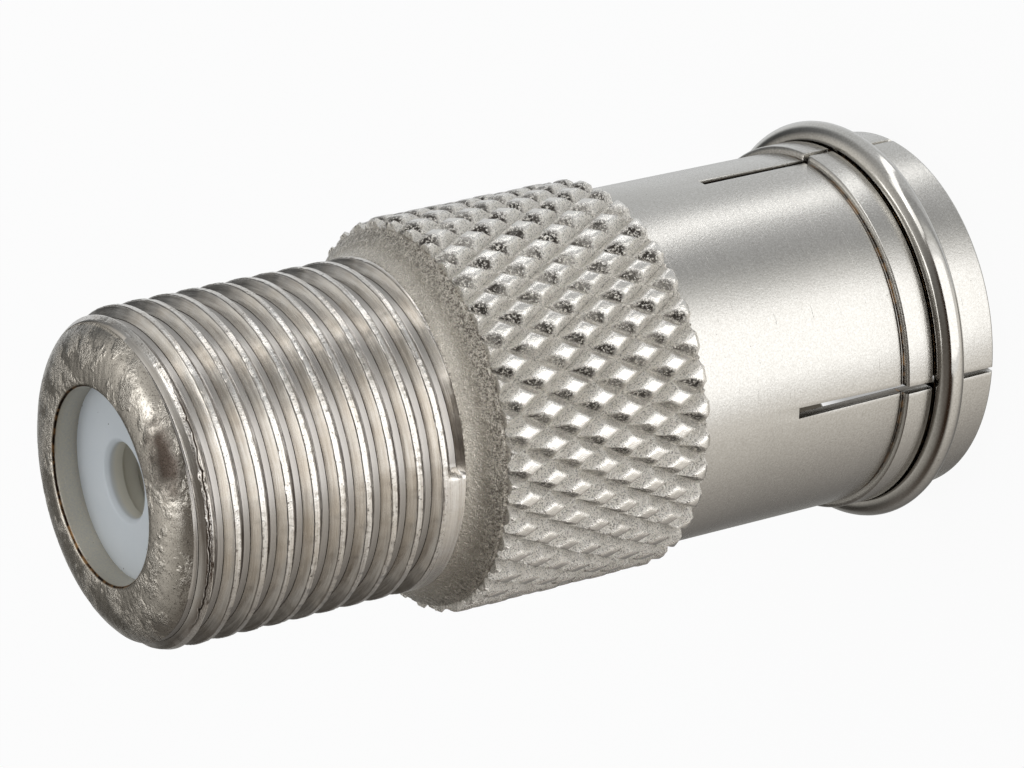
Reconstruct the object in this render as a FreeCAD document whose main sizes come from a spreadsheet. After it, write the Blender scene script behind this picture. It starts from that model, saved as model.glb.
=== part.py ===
# F connector adapter: a threaded F jack at one end, a slotted push-on F plug at the other.
# The axis is Z. The plug's lip stands on z = 0 and the jack points up. Millimetres.

import FreeCAD, Part
import Sketcher
import math
import os

Vector = FreeCAD.Vector
doc = FreeCAD.newDocument("f_connector_adapter")

# Driving sizes, each written once.
SIZES = [
    # Jack barrel and its shoulder
    ("thread_major", "9.4", "outside diameter of the 3/8-32 jack thread"),
    ("thread_pitch", "0.79375", "one turn of the thread: 32 turns to the inch"),
    ("thread_depth", "0.36", "crest down to the root"),
    ("thread_crest", "0.18", "flat left on the crest"),
    ("thread_flank", "30", "flank against a square section of the thread, in degrees"),
    ("thread_turn", "-87", "where round the axis the groove starts, in degrees"),
    ("thread_start", "0.255", "barrel's start up to the middle of the groove there"),
    ("barrel_length", "8.6", "shoulder to the front face of the jack"),
    ("nose_radius", "1.0", "rounding of the jack's front edge"),
    ("jack_bore", "5.44", "opening in the front face"),
    ("mouth_bevel", "0.12", "broken edge of that opening"),
    ("insulator_recess", "0.75", "front face down to the white insulator"),
    ("insulator_seat", "0.33", "width of the seat that the front insulator stops against"),
    ("shoulder_rise", "0.62", "thread up to the rim of the shoulder"),
    ("shoulder_length", "0.95", "knurl to the start of the thread"),
    ("shoulder_fillet", "0.6", "radius of the hollow between the barrel and the shoulder"),
    ("shoulder_sweep", "60", "angle that the hollow turns through, in degrees"),
    ("rim_height", "0.12", "upright edge of the shoulder"),
    # Knurled grip
    ("knurl_width", "6.45", "length of the knurled band"),
    ("knurl_pocket", "0.1", "shoulder rim down to the knurl's grooves"),
    ("knurl_depth", "0.38", "grooves up to the flat tops"),
    ("knurl_starts", "36", "grooves of one hand round the band"),
    ("knurl_angle", "30", "groove against the axis, in degrees"),
    ("knurl_lead_in", "0.14", "rear end of the band up to the first row of tops"),
    ("top_share", "0.28", "flat top of a diamond as a share of the diamond"),
    ("knurl_backing", "0.12", "solid ring left between the grooves and the core"),
    ("rear_wall", "0.92", "grooves in to the counterbore that takes the sleeve"),
    # Push-on sleeve
    ("sleeve_length", "10.0", "lip up to the knurled body"),
    ("sleeve_step", "0.05", "knurl's grooves down to the sleeve"),
    ("web_thickness", "1.4", "wall that closes the inner end of the sleeve"),
    ("shank_length", "3.9", "part of the sleeve that is pressed into the body"),
    ("shank_relief", "0.1", "end of the shank to the end of its counterbore"),
    ("mouth_clearance", "0.1", "mating thread to the sleeve's fingers"),
    ("mouth_chamfer", "0.15", "lead-in at the lip"),
    ("lip_rise", "0.11", "sleeve up to the lip"),
    ("lip_height", "1.24", "lip's end up to the ring groove"),
    ("lip_bevel", "0.06", "broken edge of the lip"),
    ("ring_groove", "1.0", "height of the ring groove"),
    ("groove_wall", "0.21", "metal left under the ring groove"),
    ("band_rise", "0.19", "sleeve up to the band"),
    ("band_height", "0.83", "ring groove up to the step"),
    ("step_height", "0.13", "height of the steep step from the band to the sleeve"),
    ("slot_length", "6.75", "lip's end to the root of a slot"),
    ("slot_root", "0.33", "slot width at its root"),
    ("slot_mouth", "0.14", "slot width at the lip, where the ring draws the fingers in"),
    ("slot_count", "4", "slots round the sleeve"),
    # Spring ring
    ("ring_wire", "0.86", "wire diameter"),
    ("ring_gap", "7", "angle between the ring's ends, in degrees"),
    ("ring_turn", "118", "place of that gap round the axis, in degrees"),
    # Insulators
    ("hub_lip", "0.45", "insulator's flange out from its hub"),
    ("rear_flange", "2.5", "length of the rear insulator's flange"),
    ("entry_depth", "0.9", "length of the front insulator's entry hole"),
    ("entry_lip", "0.1", "entry hole in from the contact's outside"),
    ("entry_bevel", "0.12", "broken edge of the entry hole"),
    ("contact_play", "0.05", "contact to the hole that it springs in"),
    # Spring contact and centre pin
    ("contact_outside", "2.3", "outside diameter of the contact"),
    ("contact_bore", "1.04", "hole for a cable's centre conductor"),
    ("contact_lead", "0.3", "funnel at the contact's mouth"),
    ("contact_gap", "0.1", "contact's mouth to the back of the entry hole"),
    ("contact_slot", "0.25", "slot between the contact's fingers"),
    ("contact_slot_length", "5.4", "length of those slots"),
    ("contact_floor", "0.6", "flange up to the bottom of the contact's bore"),
    ("contact_flange", "0.6", "thickness of the flange held between the insulators"),
    ("flange_rise", "0.55", "contact's outside up to the flange"),
    ("pin_diameter", "1.0", "free end of the plug's centre pin"),
    ("pin_shank", "1.4", "thicker part of the pin, held in the insulator and the contact"),
    ("pin_recess", "1.0", "lip's end up to the pin's point"),
    ("pin_taper", "0.55", "length of the pin's point"),
    ("pin_tip", "0.36", "flat at the pin's point"),
    ("pin_hold", "3.2", "length of pin inside the contact's tail"),
]

# Places worked out from the sizes: radii end in _r, heights above the lip in _z,
# and half the width of a groove at some depth in _half.
PLACES = [
    ("thread_r", "Sizes.thread_major / 2"),
    ("root_r", "thread_r - Sizes.thread_depth"),
    ("cutter_r", "thread_r + Sizes.thread_depth / 4"),
    ("groove_half", "(Sizes.thread_pitch - Sizes.thread_crest) / 2"),
    ("root_half", "groove_half - (thread_r - root_r) * tan(Sizes.thread_flank * 1 deg)"),
    ("cutter_half", "groove_half + (cutter_r - thread_r) * tan(Sizes.thread_flank * 1 deg)"),
    ("bore_r", "Sizes.jack_bore / 2"),
    ("rim_r", "thread_r + Sizes.shoulder_rise"),
    ("groove_r", "rim_r - Sizes.knurl_pocket"),
    ("top_r", "groove_r + Sizes.knurl_depth"),
    ("core_r", "groove_r - Sizes.knurl_backing"),
    ("shank_r", "groove_r - Sizes.rear_wall"),
    ("sleeve_r", "groove_r - Sizes.sleeve_step"),
    ("mouth_r", "thread_r + Sizes.mouth_clearance"),
    ("mouth_edge_r", "mouth_r + Sizes.mouth_chamfer"),
    ("lip_r", "sleeve_r + Sizes.lip_rise"),
    ("lip_edge_r", "lip_r - Sizes.lip_bevel"),
    ("band_r", "sleeve_r + Sizes.band_rise"),
    ("ring_seat_r", "mouth_r + Sizes.groove_wall"),
    ("wire_r", "Sizes.ring_wire / 2"),
    ("ring_r", "ring_seat_r + wire_r"),
    ("insulator_r", "bore_r + Sizes.insulator_seat"),
    ("hub_r", "insulator_r - Sizes.hub_lip"),
    ("bore_edge_r", "bore_r + Sizes.mouth_bevel"),
    ("nose_r", "thread_r - Sizes.nose_radius"),
    ("hollow_r", "thread_r + Sizes.shoulder_fillet"),
    ("hollow_end_r", "hollow_r - Sizes.shoulder_fillet * cos(Sizes.shoulder_sweep * 1 deg)"),
    ("contact_r", "Sizes.contact_outside / 2"),
    ("contact_bore_r", "Sizes.contact_bore / 2"),
    ("contact_mouth_r", "contact_bore_r + Sizes.contact_lead"),
    ("flange_r", "contact_r + Sizes.flange_rise"),
    ("spring_hole_r", "contact_r + Sizes.contact_play"),
    ("entry_r", "contact_r - Sizes.entry_lip"),
    ("entry_edge_r", "entry_r + Sizes.entry_bevel"),
    ("pin_r", "Sizes.pin_diameter / 2"),
    ("pin_shank_r", "Sizes.pin_shank / 2"),
    ("pin_tip_r", "Sizes.pin_tip / 2"),
    ("lip_bevel_z", "Sizes.lip_bevel"),
    ("mouth_chamfer_z", "Sizes.mouth_chamfer"),
    ("ring_floor_z", "Sizes.lip_height"),
    ("ring_ceiling_z", "ring_floor_z + Sizes.ring_groove"),
    ("ring_z", "(ring_floor_z + ring_ceiling_z) / 2"),
    ("band_top_z", "ring_ceiling_z + Sizes.band_height"),
    ("step_top_z", "band_top_z + Sizes.step_height"),
    ("slot_root_z", "Sizes.slot_length"),
    ("body_z", "Sizes.sleeve_length"),
    ("web_z", "body_z - Sizes.web_thickness"),
    ("shank_z", "body_z + Sizes.shank_length"),
    ("counterbore_z", "shank_z + Sizes.shank_relief"),
    ("knurl_z", "body_z + Sizes.knurl_width"),
    ("rim_z", "knurl_z + Sizes.rim_height"),
    ("barrel_z", "knurl_z + Sizes.shoulder_length"),
    ("thread_z", "barrel_z + Sizes.thread_start"),
    ("root_low_z", "thread_z - root_half"),
    ("root_high_z", "thread_z + root_half"),
    ("cutter_low_z", "thread_z - cutter_half"),
    ("cutter_high_z", "thread_z + cutter_half"),
    ("hollow_end_z", "barrel_z - Sizes.shoulder_fillet * sin(Sizes.shoulder_sweep * 1 deg)"),
    ("front_z", "barrel_z + Sizes.barrel_length"),
    ("nose_z", "front_z - Sizes.nose_radius"),
    ("bore_edge_z", "front_z - Sizes.mouth_bevel"),
    ("face_z", "front_z - Sizes.insulator_recess"),
    ("entry_edge_z", "face_z - Sizes.entry_bevel"),
    ("entry_z", "face_z - Sizes.entry_depth"),
    ("contact_top_z", "entry_z - Sizes.contact_gap"),
    ("contact_lead_z", "contact_top_z - Sizes.contact_lead"),
    ("contact_slot_z", "contact_top_z - Sizes.contact_slot_length"),
    ("flange_z", "shank_z + Sizes.rear_flange"),
    ("flange_top_z", "flange_z + Sizes.contact_flange"),
    ("contact_floor_z", "flange_top_z + Sizes.contact_floor"),
    ("pin_top_z", "shank_z + Sizes.pin_hold"),
    ("pin_point_z", "Sizes.pin_recess"),
    ("pin_shoulder_z", "pin_point_z + Sizes.pin_taper"),
]

AXIS = "axis"
FLOOR = "floor"
SAME_LEVEL = 1e-6
FULL_TURN = 360


def fill_sizes():
    sheet = doc.addObject("Spreadsheet::Sheet", "Sizes")
    for row, (alias, number, meaning) in enumerate(SIZES, start=1):
        sheet.set(f"A{row}", meaning)
        sheet.set(f"B{row}", number)
        sheet.setAlias(f"B{row}", alias)
    return sheet


def fill_places():
    sheet = doc.addObject("Spreadsheet::Sheet", "Places")
    for row, (alias, _) in enumerate(PLACES, start=1):
        sheet.set(f"A{row}", alias)
        sheet.setAlias(f"B{row}", alias)
    for row, (alias, formula) in enumerate(PLACES, start=1):
        sheet.set(f"B{row}", "=" + formula)
    return sheet


sizes = fill_sizes()
doc.recompute()
places = fill_places()
doc.recompute()


def size(alias):
    return float(sizes.get(alias))


def place(alias):
    return 0.0 if alias in (AXIS, FLOOR) else float(places.get(alias))


def origin_part(body, role):
    return next(part for part in body.Origin.OriginFeatures if part.Role == role)


def flat_sketch(body, name, role):
    sketch = body.newObject("Sketcher::SketchObject", name)
    sketch.AttachmentSupport = (origin_part(body, role), [""])
    sketch.MapMode = "FlatFace"
    return sketch


def tie_corner(sketch, edge, end, across, up):
    """Hold one corner at two named places, or on the axis or the floor line."""
    for kind, alias, line in (("DistanceX", across, -2), ("DistanceY", up, -1)):
        if alias in (AXIS, FLOOR):
            sketch.addConstraint(Sketcher.Constraint("PointOnObject", edge, end, line))
            continue
        rule = Sketcher.Constraint(kind, -1, 1, edge, end, place(alias))
        index = sketch.addConstraint(rule)
        sketch.setExpression(f"Constraints[{index}]", f"Places.{alias}")


def half_section(body, name, corners, arcs=None):
    """A closed outline in the XZ plane from named (radius, height) corners.

    arcs gives, for an edge's first corner, the named radius and height of the arc's centre.
    """
    arcs = arcs or {}
    sketch = flat_sketch(body, name, "XZ_Plane")
    spots = [Vector(place(across), place(up), 0) for across, up in corners]
    ends = []
    for edge, start in enumerate(spots):
        stop = spots[(edge + 1) % len(spots)]
        if edge not in arcs:
            sketch.addGeometry(Part.LineSegment(start, stop), False)
            ends.append((1, 2))
            continue
        centre = Vector(place(arcs[edge][0]), place(arcs[edge][1]), 0)
        circle = Part.Circle(centre, Vector(0, 0, 1), (start - centre).Length)
        forward = (start - centre).cross(stop - centre).z > 0
        first, last = (start, stop) if forward else (stop, start)
        curve = Part.ArcOfCircle(circle, circle.parameter(first), circle.parameter(last))
        sketch.addGeometry(curve, False)
        ends.append((1, 2) if forward else (2, 1))
    for edge in range(len(corners)):
        following = (edge + 1) % len(corners)
        joint = Sketcher.Constraint("Coincident", edge, ends[edge][1], following, ends[following][0])
        sketch.addConstraint(joint)
    for edge, (across, up) in enumerate(corners):
        tie_corner(sketch, edge, ends[edge][0], across, up)
    for edge, (across, up) in arcs.items():
        rule = Sketcher.Constraint("DistanceX", -1, 1, edge, 3, place(across))
        index = sketch.addConstraint(rule)
        sketch.setExpression(f"Constraints[{index}]", f"Places.{across}")
    return sketch


def turned(body, name, corners, arcs=None):
    """Turn a half section round the axis, as on a lathe."""
    sketch = half_section(body, name + "_section", corners, arcs)
    turn = body.newObject("PartDesign::Revolution", name)
    turn.Profile = sketch
    turn.ReferenceAxis = (sketch, ["V_Axis"])
    turn.Angle = FULL_TURN
    body.Tip = turn
    doc.recompute()
    return turn


def new_body(name):
    return doc.addObject("PartDesign::Body", name)


def slot_section(body, name, foot, head, foot_half, head_half):
    """A slot seen from outside, in the YZ plane: two heights and a half width at each."""
    sketch = flat_sketch(body, name, "YZ_Plane")
    corners = [(-1, foot, foot_half), (1, foot, foot_half), (1, head, head_half), (-1, head, head_half)]
    spots = [Vector(side * half[1], up[1], 0) for side, up, half in corners]
    for edge, start in enumerate(spots):
        sketch.addGeometry(Part.LineSegment(start, spots[(edge + 1) % 4]), False)
    for edge in range(4):
        joint = Sketcher.Constraint("Coincident", edge, 2, (edge + 1) % 4, 1)
        sketch.addConstraint(joint)
    for edge, (side, up, half) in enumerate(corners):
        across = sketch.addConstraint(Sketcher.Constraint("DistanceX", -1, 1, edge, 1, side * half[1]))
        sketch.setExpression(f"Constraints[{across}]", f"{side} * {half[0]}")
        height = sketch.addConstraint(Sketcher.Constraint("DistanceY", -1, 1, edge, 1, up[1]))
        sketch.setExpression(f"Constraints[{height}]", up[0])
    return sketch


def slots_round(body, name, sketch, reach, copies):
    """Cut the slot outwards from the axis and repeat it round the piece."""
    whole = body.Tip.Shape.Volume
    cut = body.newObject("PartDesign::Pocket", name)
    cut.Profile = sketch
    cut.setExpression("Length", reach)
    cut.Reversed = True
    body.Tip = cut
    doc.recompute()
    if cut.Shape.Volume >= whole:
        raise RuntimeError(name + " cuts nothing")
    ring = body.newObject("PartDesign::PolarPattern", name + "_ring")
    ring.Originals = [cut]
    ring.Axis = (origin_part(body, "Z_Axis"), [""])
    ring.Angle = FULL_TURN
    ring.setExpression("Occurrences", copies)
    body.Tip = ring
    doc.recompute()
    if ring.Shape.Volume >= cut.Shape.Volume:
        raise RuntimeError(name + " is not repeated")
    return ring


def thread_groove(body):
    """Cut the jack's thread: one groove that climbs from a blunt end at the shoulder out past the nose."""
    section = half_section(
        body,
        "thread_section",
        [
            ("root_r", "root_low_z"),
            ("cutter_r", "cutter_low_z"),
            ("cutter_r", "cutter_high_z"),
            ("root_r", "root_high_z"),
        ],
    )
    section.AttachmentOffset.Rotation.Axis = Vector(0, 1, 0)
    section.setExpression("AttachmentOffset.Rotation.Angle", "Sizes.thread_turn")
    blank = body.Tip.Shape.Volume
    groove = body.newObject("PartDesign::SubtractiveHelix", "thread")
    groove.Profile = section
    groove.ReferenceAxis = (section, ["V_Axis"])
    groove.setExpression("Pitch", "Sizes.thread_pitch")
    groove.setExpression("Height", "Places.front_z - Places.thread_z + Sizes.thread_pitch")
    body.Tip = groove
    doc.recompute()
    if groove.Shape.Volume >= blank:
        raise RuntimeError("the thread cuts nothing")
    return groove


# Knurl: two families of grooves cross, and each diamond between them is a blunt pyramid.
# A spot is given by its turn u, counted in grooves, and its rise w, counted in diamond heights.
# One family of grooves lies where u + w is whole, the other where u - w is whole.

def knurl_facets():
    """Triangles (three points each) of the knurled face, cut off at both ends of the band."""
    starts = int(round(size("knurl_starts")))
    low_r, high_r = place("groove_r"), place("top_r")
    pitch = 2 * math.pi * (low_r + high_r) / 2 / starts
    height = pitch / math.tan(math.radians(size("knurl_angle")))
    first = place("body_z") + size("knurl_lead_in")
    share = size("top_share")

    def spot(turn, rise, radius):
        angle = 2 * math.pi * turn / starts
        return Vector(radius * math.cos(angle), radius * math.sin(angle), first + rise * height)

    rows = int(math.ceil(size("knurl_width") / (height / 2))) + 1
    facets = []
    for row in range(-1, rows + 1):
        for step in range(starts):
            turn = step + (0.5 if row % 2 else 0.0)
            rise = row / 2
            around = [(0.5, 0.0), (0.0, 0.5), (-0.5, 0.0), (0.0, -0.5)]
            base = [spot(turn + du, rise + dw, low_r) for du, dw in around]
            top = [spot(turn + du * share, rise + dw * share, high_r) for du, dw in around]
            for side in range(4):
                after = (side + 1) % 4
                facets.append([base[side], base[after], top[after]])
                facets.append([base[side], top[after], top[side]])
            facets.append([top[0], top[1], top[2]])
            facets.append([top[0], top[2], top[3]])
    return facets


def keep_side(polygon, level, upper):
    """The part of a flat polygon above (upper) or below a level."""
    kept = []
    for index, point in enumerate(polygon):
        before = polygon[index - 1]
        inside = (point.z >= level) == upper or point.z == level
        was_inside = (before.z >= level) == upper or before.z == level
        if inside != was_inside:
            share = (level - before.z) / (point.z - before.z)
            crossing = before + (point - before) * share
            kept.append(Vector(crossing.x, crossing.y, level))
        if inside:
            kept.append(point)
    return kept


def lies_at(edge, level):
    box = edge.BoundBox
    return max(abs(box.ZMax - level), abs(box.ZMin - level)) < SAME_LEVEL


def knurl_band():
    """The knurled ring as one closed solid, its inner wall hidden in the core."""
    bottom, top = place("body_z"), place("knurl_z")
    facets = []
    for triangle in knurl_facets():
        piece = keep_side(keep_side(triangle, bottom, True), top, False)
        if len(piece) >= 3:
            facets.append(Part.Face(Part.makePolygon(piece + [piece[0]])))
    skin = Part.makeShell(facets)
    skin.sewShape()
    inner_r = place("core_r") - size("knurl_backing")
    wall = Part.makeCylinder(inner_r, top - bottom, Vector(0, 0, bottom))
    pieces = list(skin.Faces)
    for level in (bottom, top):
        rim = [edge for edge in skin.Edges if lies_at(edge, level)]
        outer = Part.Wire(Part.sortEdges(rim)[0])
        hole = Part.Wire(Part.makeCircle(inner_r, Vector(0, 0, level)))
        pieces.append(Part.makeFace([outer, hole], "Part::FaceMakerBullseye"))
    pieces.append(next(face for face in wall.Faces if abs(face.normalAt(0, 0).z) < 0.5))
    shell = Part.makeShell(pieces)
    shell.sewShape()
    solid = Part.Solid(shell)
    if solid.Volume < 0:
        solid.reverse()
    return solid


def make_body():
    """Die-cast body: the jack's threaded barrel, the shoulder and the knurled grip in one piece."""
    core = new_body("body_core")
    turned(
        core,
        "body_turning",
        [
            ("shank_r", "body_z"),
            ("core_r", "body_z"),
            ("core_r", "knurl_z"),
            ("rim_r", "knurl_z"),
            ("rim_r", "rim_z"),
            ("hollow_end_r", "hollow_end_z"),
            ("thread_r", "barrel_z"),
            ("thread_r", "nose_z"),
            ("nose_r", "front_z"),
            ("bore_edge_r", "front_z"),
            ("bore_r", "bore_edge_z"),
            ("bore_r", "face_z"),
            ("insulator_r", "face_z"),
            ("insulator_r", "counterbore_z"),
            ("shank_r", "counterbore_z"),
        ],
        arcs={5: ("hollow_r", "barrel_z"), 7: ("nose_r", "nose_z")},
    )
    thread_groove(core)
    knurl = doc.addObject("Part::Feature", "knurl")
    knurl.Shape = knurl_band()
    whole = doc.addObject("Part::Fuse", "body")
    whole.Base = core
    whole.Tool = knurl
    whole.Refine = False
    return whole


def make_sleeve():
    """Turned push-on sleeve: slotted fingers, band, ring groove and lip, with a pressed shank."""
    sleeve = new_body("sleeve")
    turned(
        sleeve,
        "sleeve_turning",
        [
            ("mouth_edge_r", FLOOR),
            ("lip_edge_r", FLOOR),
            ("lip_r", "lip_bevel_z"),
            ("lip_r", "ring_floor_z"),
            ("ring_seat_r", "ring_floor_z"),
            ("ring_seat_r", "ring_ceiling_z"),
            ("band_r", "ring_ceiling_z"),
            ("band_r", "band_top_z"),
            ("sleeve_r", "step_top_z"),
            ("sleeve_r", "body_z"),
            ("shank_r", "body_z"),
            ("shank_r", "shank_z"),
            ("hub_r", "shank_z"),
            ("hub_r", "web_z"),
            ("mouth_r", "web_z"),
            ("mouth_r", "mouth_chamfer_z"),
        ],
    )
    section = slot_section(
        sleeve,
        "slot_section",
        ("0", 0.0),
        ("Places.slot_root_z", place("slot_root_z")),
        ("Sizes.slot_mouth / 2", size("slot_mouth") / 2),
        ("Sizes.slot_root / 2", size("slot_root") / 2),
    )
    slots_round(sleeve, "finger_slots", section, "Places.band_r + Sizes.lip_rise", "Sizes.slot_count")
    return sleeve


def make_spring_ring():
    """Round spring wire bent to a ring that squeezes the fingers, open at its back."""
    ring = doc.addObject("Part::Torus", "spring_ring")
    ring.setExpression("Radius1", "Places.ring_r")
    ring.setExpression("Radius2", "Places.wire_r")
    ring.setExpression("Angle3", "360 - Sizes.ring_gap")
    ring.setExpression("Placement.Base.z", "Places.ring_z")
    ring.setExpression("Placement.Rotation.Angle", "Sizes.ring_turn + Sizes.ring_gap / 2")
    ring.Placement.Rotation.Axis = Vector(0, 0, 1)
    return ring


def make_front_insulator():
    """Moulded white bush in the jack, with the entry hole and the room for the contact."""
    bush = new_body("front_insulator")
    turned(
        bush,
        "front_insulator_turning",
        [
            ("spring_hole_r", "flange_top_z"),
            ("insulator_r", "flange_top_z"),
            ("insulator_r", "face_z"),
            ("entry_edge_r", "face_z"),
            ("entry_r", "entry_edge_z"),
            ("entry_r", "entry_z"),
            ("spring_hole_r", "entry_z"),
        ],
    )
    return bush


def make_rear_insulator():
    """Moulded white bush in the sleeve's web, stepped to stop against the shank."""
    bush = new_body("rear_insulator")
    turned(
        bush,
        "rear_insulator_turning",
        [
            ("pin_shank_r", "web_z"),
            ("hub_r", "web_z"),
            ("hub_r", "shank_z"),
            ("insulator_r", "shank_z"),
            ("insulator_r", "flange_z"),
            ("contact_r", "flange_z"),
            ("contact_r", "shank_z"),
            ("pin_shank_r", "shank_z"),
        ],
    )
    return bush


def make_socket_contact():
    """Turned spring contact: four fingers, a flange between the insulators, a tail for the pin."""
    contact = new_body("socket_contact")
    turned(
        contact,
        "contact_turning",
        [
            ("pin_shank_r", "shank_z"),
            ("contact_r", "shank_z"),
            ("contact_r", "flange_z"),
            ("flange_r", "flange_z"),
            ("flange_r", "flange_top_z"),
            ("contact_r", "flange_top_z"),
            ("contact_r", "contact_top_z"),
            ("contact_mouth_r", "contact_top_z"),
            ("contact_bore_r", "contact_lead_z"),
            ("contact_bore_r", "contact_floor_z"),
            (AXIS, "contact_floor_z"),
            (AXIS, "pin_top_z"),
            ("pin_shank_r", "pin_top_z"),
        ],
    )
    half_slot = ("Sizes.contact_slot / 2", size("contact_slot") / 2)
    section = slot_section(
        contact,
        "contact_slot_section",
        ("Places.contact_slot_z", place("contact_slot_z")),
        ("Places.entry_z", place("entry_z")),
        half_slot,
        half_slot,
    )
    slots_round(contact, "contact_slots", section, "Places.flange_r", "Sizes.slot_count")
    return contact


def make_centre_pin():
    """Pin of the plug, pointed, with a thicker shank held in the insulator and the contact's tail."""
    pin = new_body("centre_pin")
    turned(
        pin,
        "pin_turning",
        [
            (AXIS, "pin_point_z"),
            ("pin_tip_r", "pin_point_z"),
            ("pin_r", "pin_shoulder_z"),
            ("pin_r", "web_z"),
            ("pin_shank_r", "web_z"),
            ("pin_shank_r", "pin_top_z"),
            (AXIS, "pin_top_z"),
        ],
    )
    return pin


MAKERS = [
    make_body,
    make_sleeve,
    make_spring_ring,
    make_front_insulator,
    make_rear_insulator,
    make_socket_contact,
    make_centre_pin,
]

sub_parts = [maker() for maker in MAKERS]
doc.recompute()

for thing in doc.Objects:
    if "Invalid" in thing.State or "Error" in thing.State:
        raise RuntimeError(f"{thing.Name} did not build: {thing.State}")
for part in sub_parts:
    if part.Shape.isNull() or not part.Shape.isValid():
        raise RuntimeError(f"{part.Label} has no valid shape")

os.makedirs("parts", exist_ok=True)
for part in sub_parts:
    part.Shape.exportStep(f"parts/{part.Label}.step")
    box = part.Shape.BoundBox
    print(f"{part.Label}: {part.Shape.Volume:.3f} mm3, z {box.ZMin:.3f} to {box.ZMax:.3f}")
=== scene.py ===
# %% [markdown]
# # A nickel-plated F connector adapter
#
# The adapter joins a threaded jack to a push-on sleeve. Five things can be seen of it: one turned and
# knurled body, a slotted sleeve, a round spring ring, a white insulator deep in the jack, and the small
# contacts on the axis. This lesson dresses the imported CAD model, which stands on its lip with the axis
# along Z. Lengths are written in millimetres and turned into metres when a mesh is made.

import math

import bmesh
import bpy
import numpy as np
from mathutils import Matrix, Vector, noise


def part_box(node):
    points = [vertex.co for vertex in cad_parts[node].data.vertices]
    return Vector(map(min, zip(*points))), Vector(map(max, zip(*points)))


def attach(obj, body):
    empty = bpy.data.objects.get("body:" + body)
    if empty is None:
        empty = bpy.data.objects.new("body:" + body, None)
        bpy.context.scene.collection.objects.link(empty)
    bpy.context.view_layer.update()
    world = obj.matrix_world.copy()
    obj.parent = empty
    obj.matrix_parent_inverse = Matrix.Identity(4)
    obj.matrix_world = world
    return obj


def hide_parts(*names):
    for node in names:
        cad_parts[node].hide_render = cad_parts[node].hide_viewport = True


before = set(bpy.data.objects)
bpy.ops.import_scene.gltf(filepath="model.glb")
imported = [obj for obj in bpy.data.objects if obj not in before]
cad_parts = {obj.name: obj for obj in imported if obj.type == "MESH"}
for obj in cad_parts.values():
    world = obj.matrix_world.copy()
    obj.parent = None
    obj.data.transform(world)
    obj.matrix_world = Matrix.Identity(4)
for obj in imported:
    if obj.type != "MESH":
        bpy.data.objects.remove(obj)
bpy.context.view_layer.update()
MM = 0.001
print("CAD nodes:", ", ".join(sorted(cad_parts)))

# %% [markdown]
# ## The camera
#
# The photograph was taken with the adapter lying on its side, from a hand's breadth away through a long
# lens. Circles of known size, the jack's rim, the knurl's ends and the spring ring, fix where the camera
# stood. In the CAD frame the adapter stands upright, so the camera is rolled by about a quarter turn.

# %% Camera
CAMERA_PLACE = Vector((51.08, -100.26, 77.83))
CAMERA_TARGET = Vector((0.235, 0.070, 12.92))
PICTURE_UP = Vector((0.9199, 0.3421, -0.1918))
LENS_MM = 162.66
SENSOR_MM = 36.0


def aimed_camera(place, target, up, lens):
    """A camera at place that looks at target, with up as the picture's upward direction."""
    back = (place - target).normalized()
    right = up.cross(back).normalized()
    upward = back.cross(right)
    data = bpy.data.cameras.new("photo_camera")
    data.lens = lens
    data.sensor_width = SENSOR_MM
    data.clip_start = 1 * MM
    data.clip_end = 10
    camera = bpy.data.objects.new("photo_camera", data)
    turn = Matrix((right, upward, back)).transposed().to_4x4()
    camera.matrix_world = Matrix.Translation(place * MM) @ turn
    bpy.context.scene.collection.objects.link(camera)
    return camera


bpy.context.scene.camera = aimed_camera(CAMERA_PLACE, CAMERA_TARGET, PICTURE_UP, LENS_MM)
print("camera", round((CAMERA_PLACE - CAMERA_TARGET).length, 1), "mm from the adapter")

# %% [markdown]
# ## Small helpers for turned work
#
# Nearly everything here came off a lathe, so a piece starts as a half section: a list of (radius, height)
# corners. Each corner is swept round the axis into a ring of points, and neighbouring rings are joined by
# quads. Rings are kept as numpy arrays, which makes it easy to push points in and out before the mesh is
# made.

# %% Rings and arcs
def arc(centre_r, centre_z, radius, start_deg, end_deg, steps):
    """Points on a round corner of a half section. 0 degrees points away from the axis and 90 up it."""
    angles = np.radians(np.linspace(start_deg, end_deg, steps + 1))
    return [(centre_r + radius * math.cos(a), centre_z + radius * math.sin(a)) for a in angles]


def round_angles(columns):
    """The angles of one ring's points, in radians, without the closing one."""
    return np.arange(columns) * 2 * math.pi / columns


def rings(corners, columns):
    """Each (radius, height) corner swept round the axis: an array of rings by columns by 3."""
    angle = round_angles(columns)
    made = [np.column_stack([r * np.cos(angle), r * np.sin(angle), np.full(columns, z)])
            for r, z in corners]
    return np.array(made)


def ripple(points, size, seed):
    """Smooth noise from -1 to 1 at each point, with features of about size mm."""
    flat = points.reshape(-1, 3) / size
    shift = Vector((seed * 17.3, seed * 5.1, seed * 11.7))
    values = [noise.noise(Vector(p) + shift) for p in flat]
    return np.array(values).reshape(points.shape[:-1])


def pushed(points, outward):
    """Points moved away from the axis by outward mm."""
    radius = np.hypot(points[..., 0], points[..., 1])
    share = 1 + outward / radius
    return points * np.stack([share, share, np.ones_like(share)], axis=-1)


print("a quarter round in two steps:", [(round(r, 2), round(z, 2)) for r, z in arc(1, 0, 0.5, 0, 90, 2)])

# %% [markdown]
# ## Faces between the rings
#
# Blocks of rings become one mesh. A thread needs one trick: its rings climb by a pitch in each turn, so
# the last column of a ring meets the first column of the ring one turn further on. That step is the
# block's *climb*, and it is zero for plain turned work.

# %% Blocks and their faces
def block(points, finish, climb=0, diagonal=None):
    """Rings of points with their finish. diagonal says where a quad is split the other way."""
    return {"points": points, "finish": finish, "climb": climb, "diagonal": diagonal}


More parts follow.
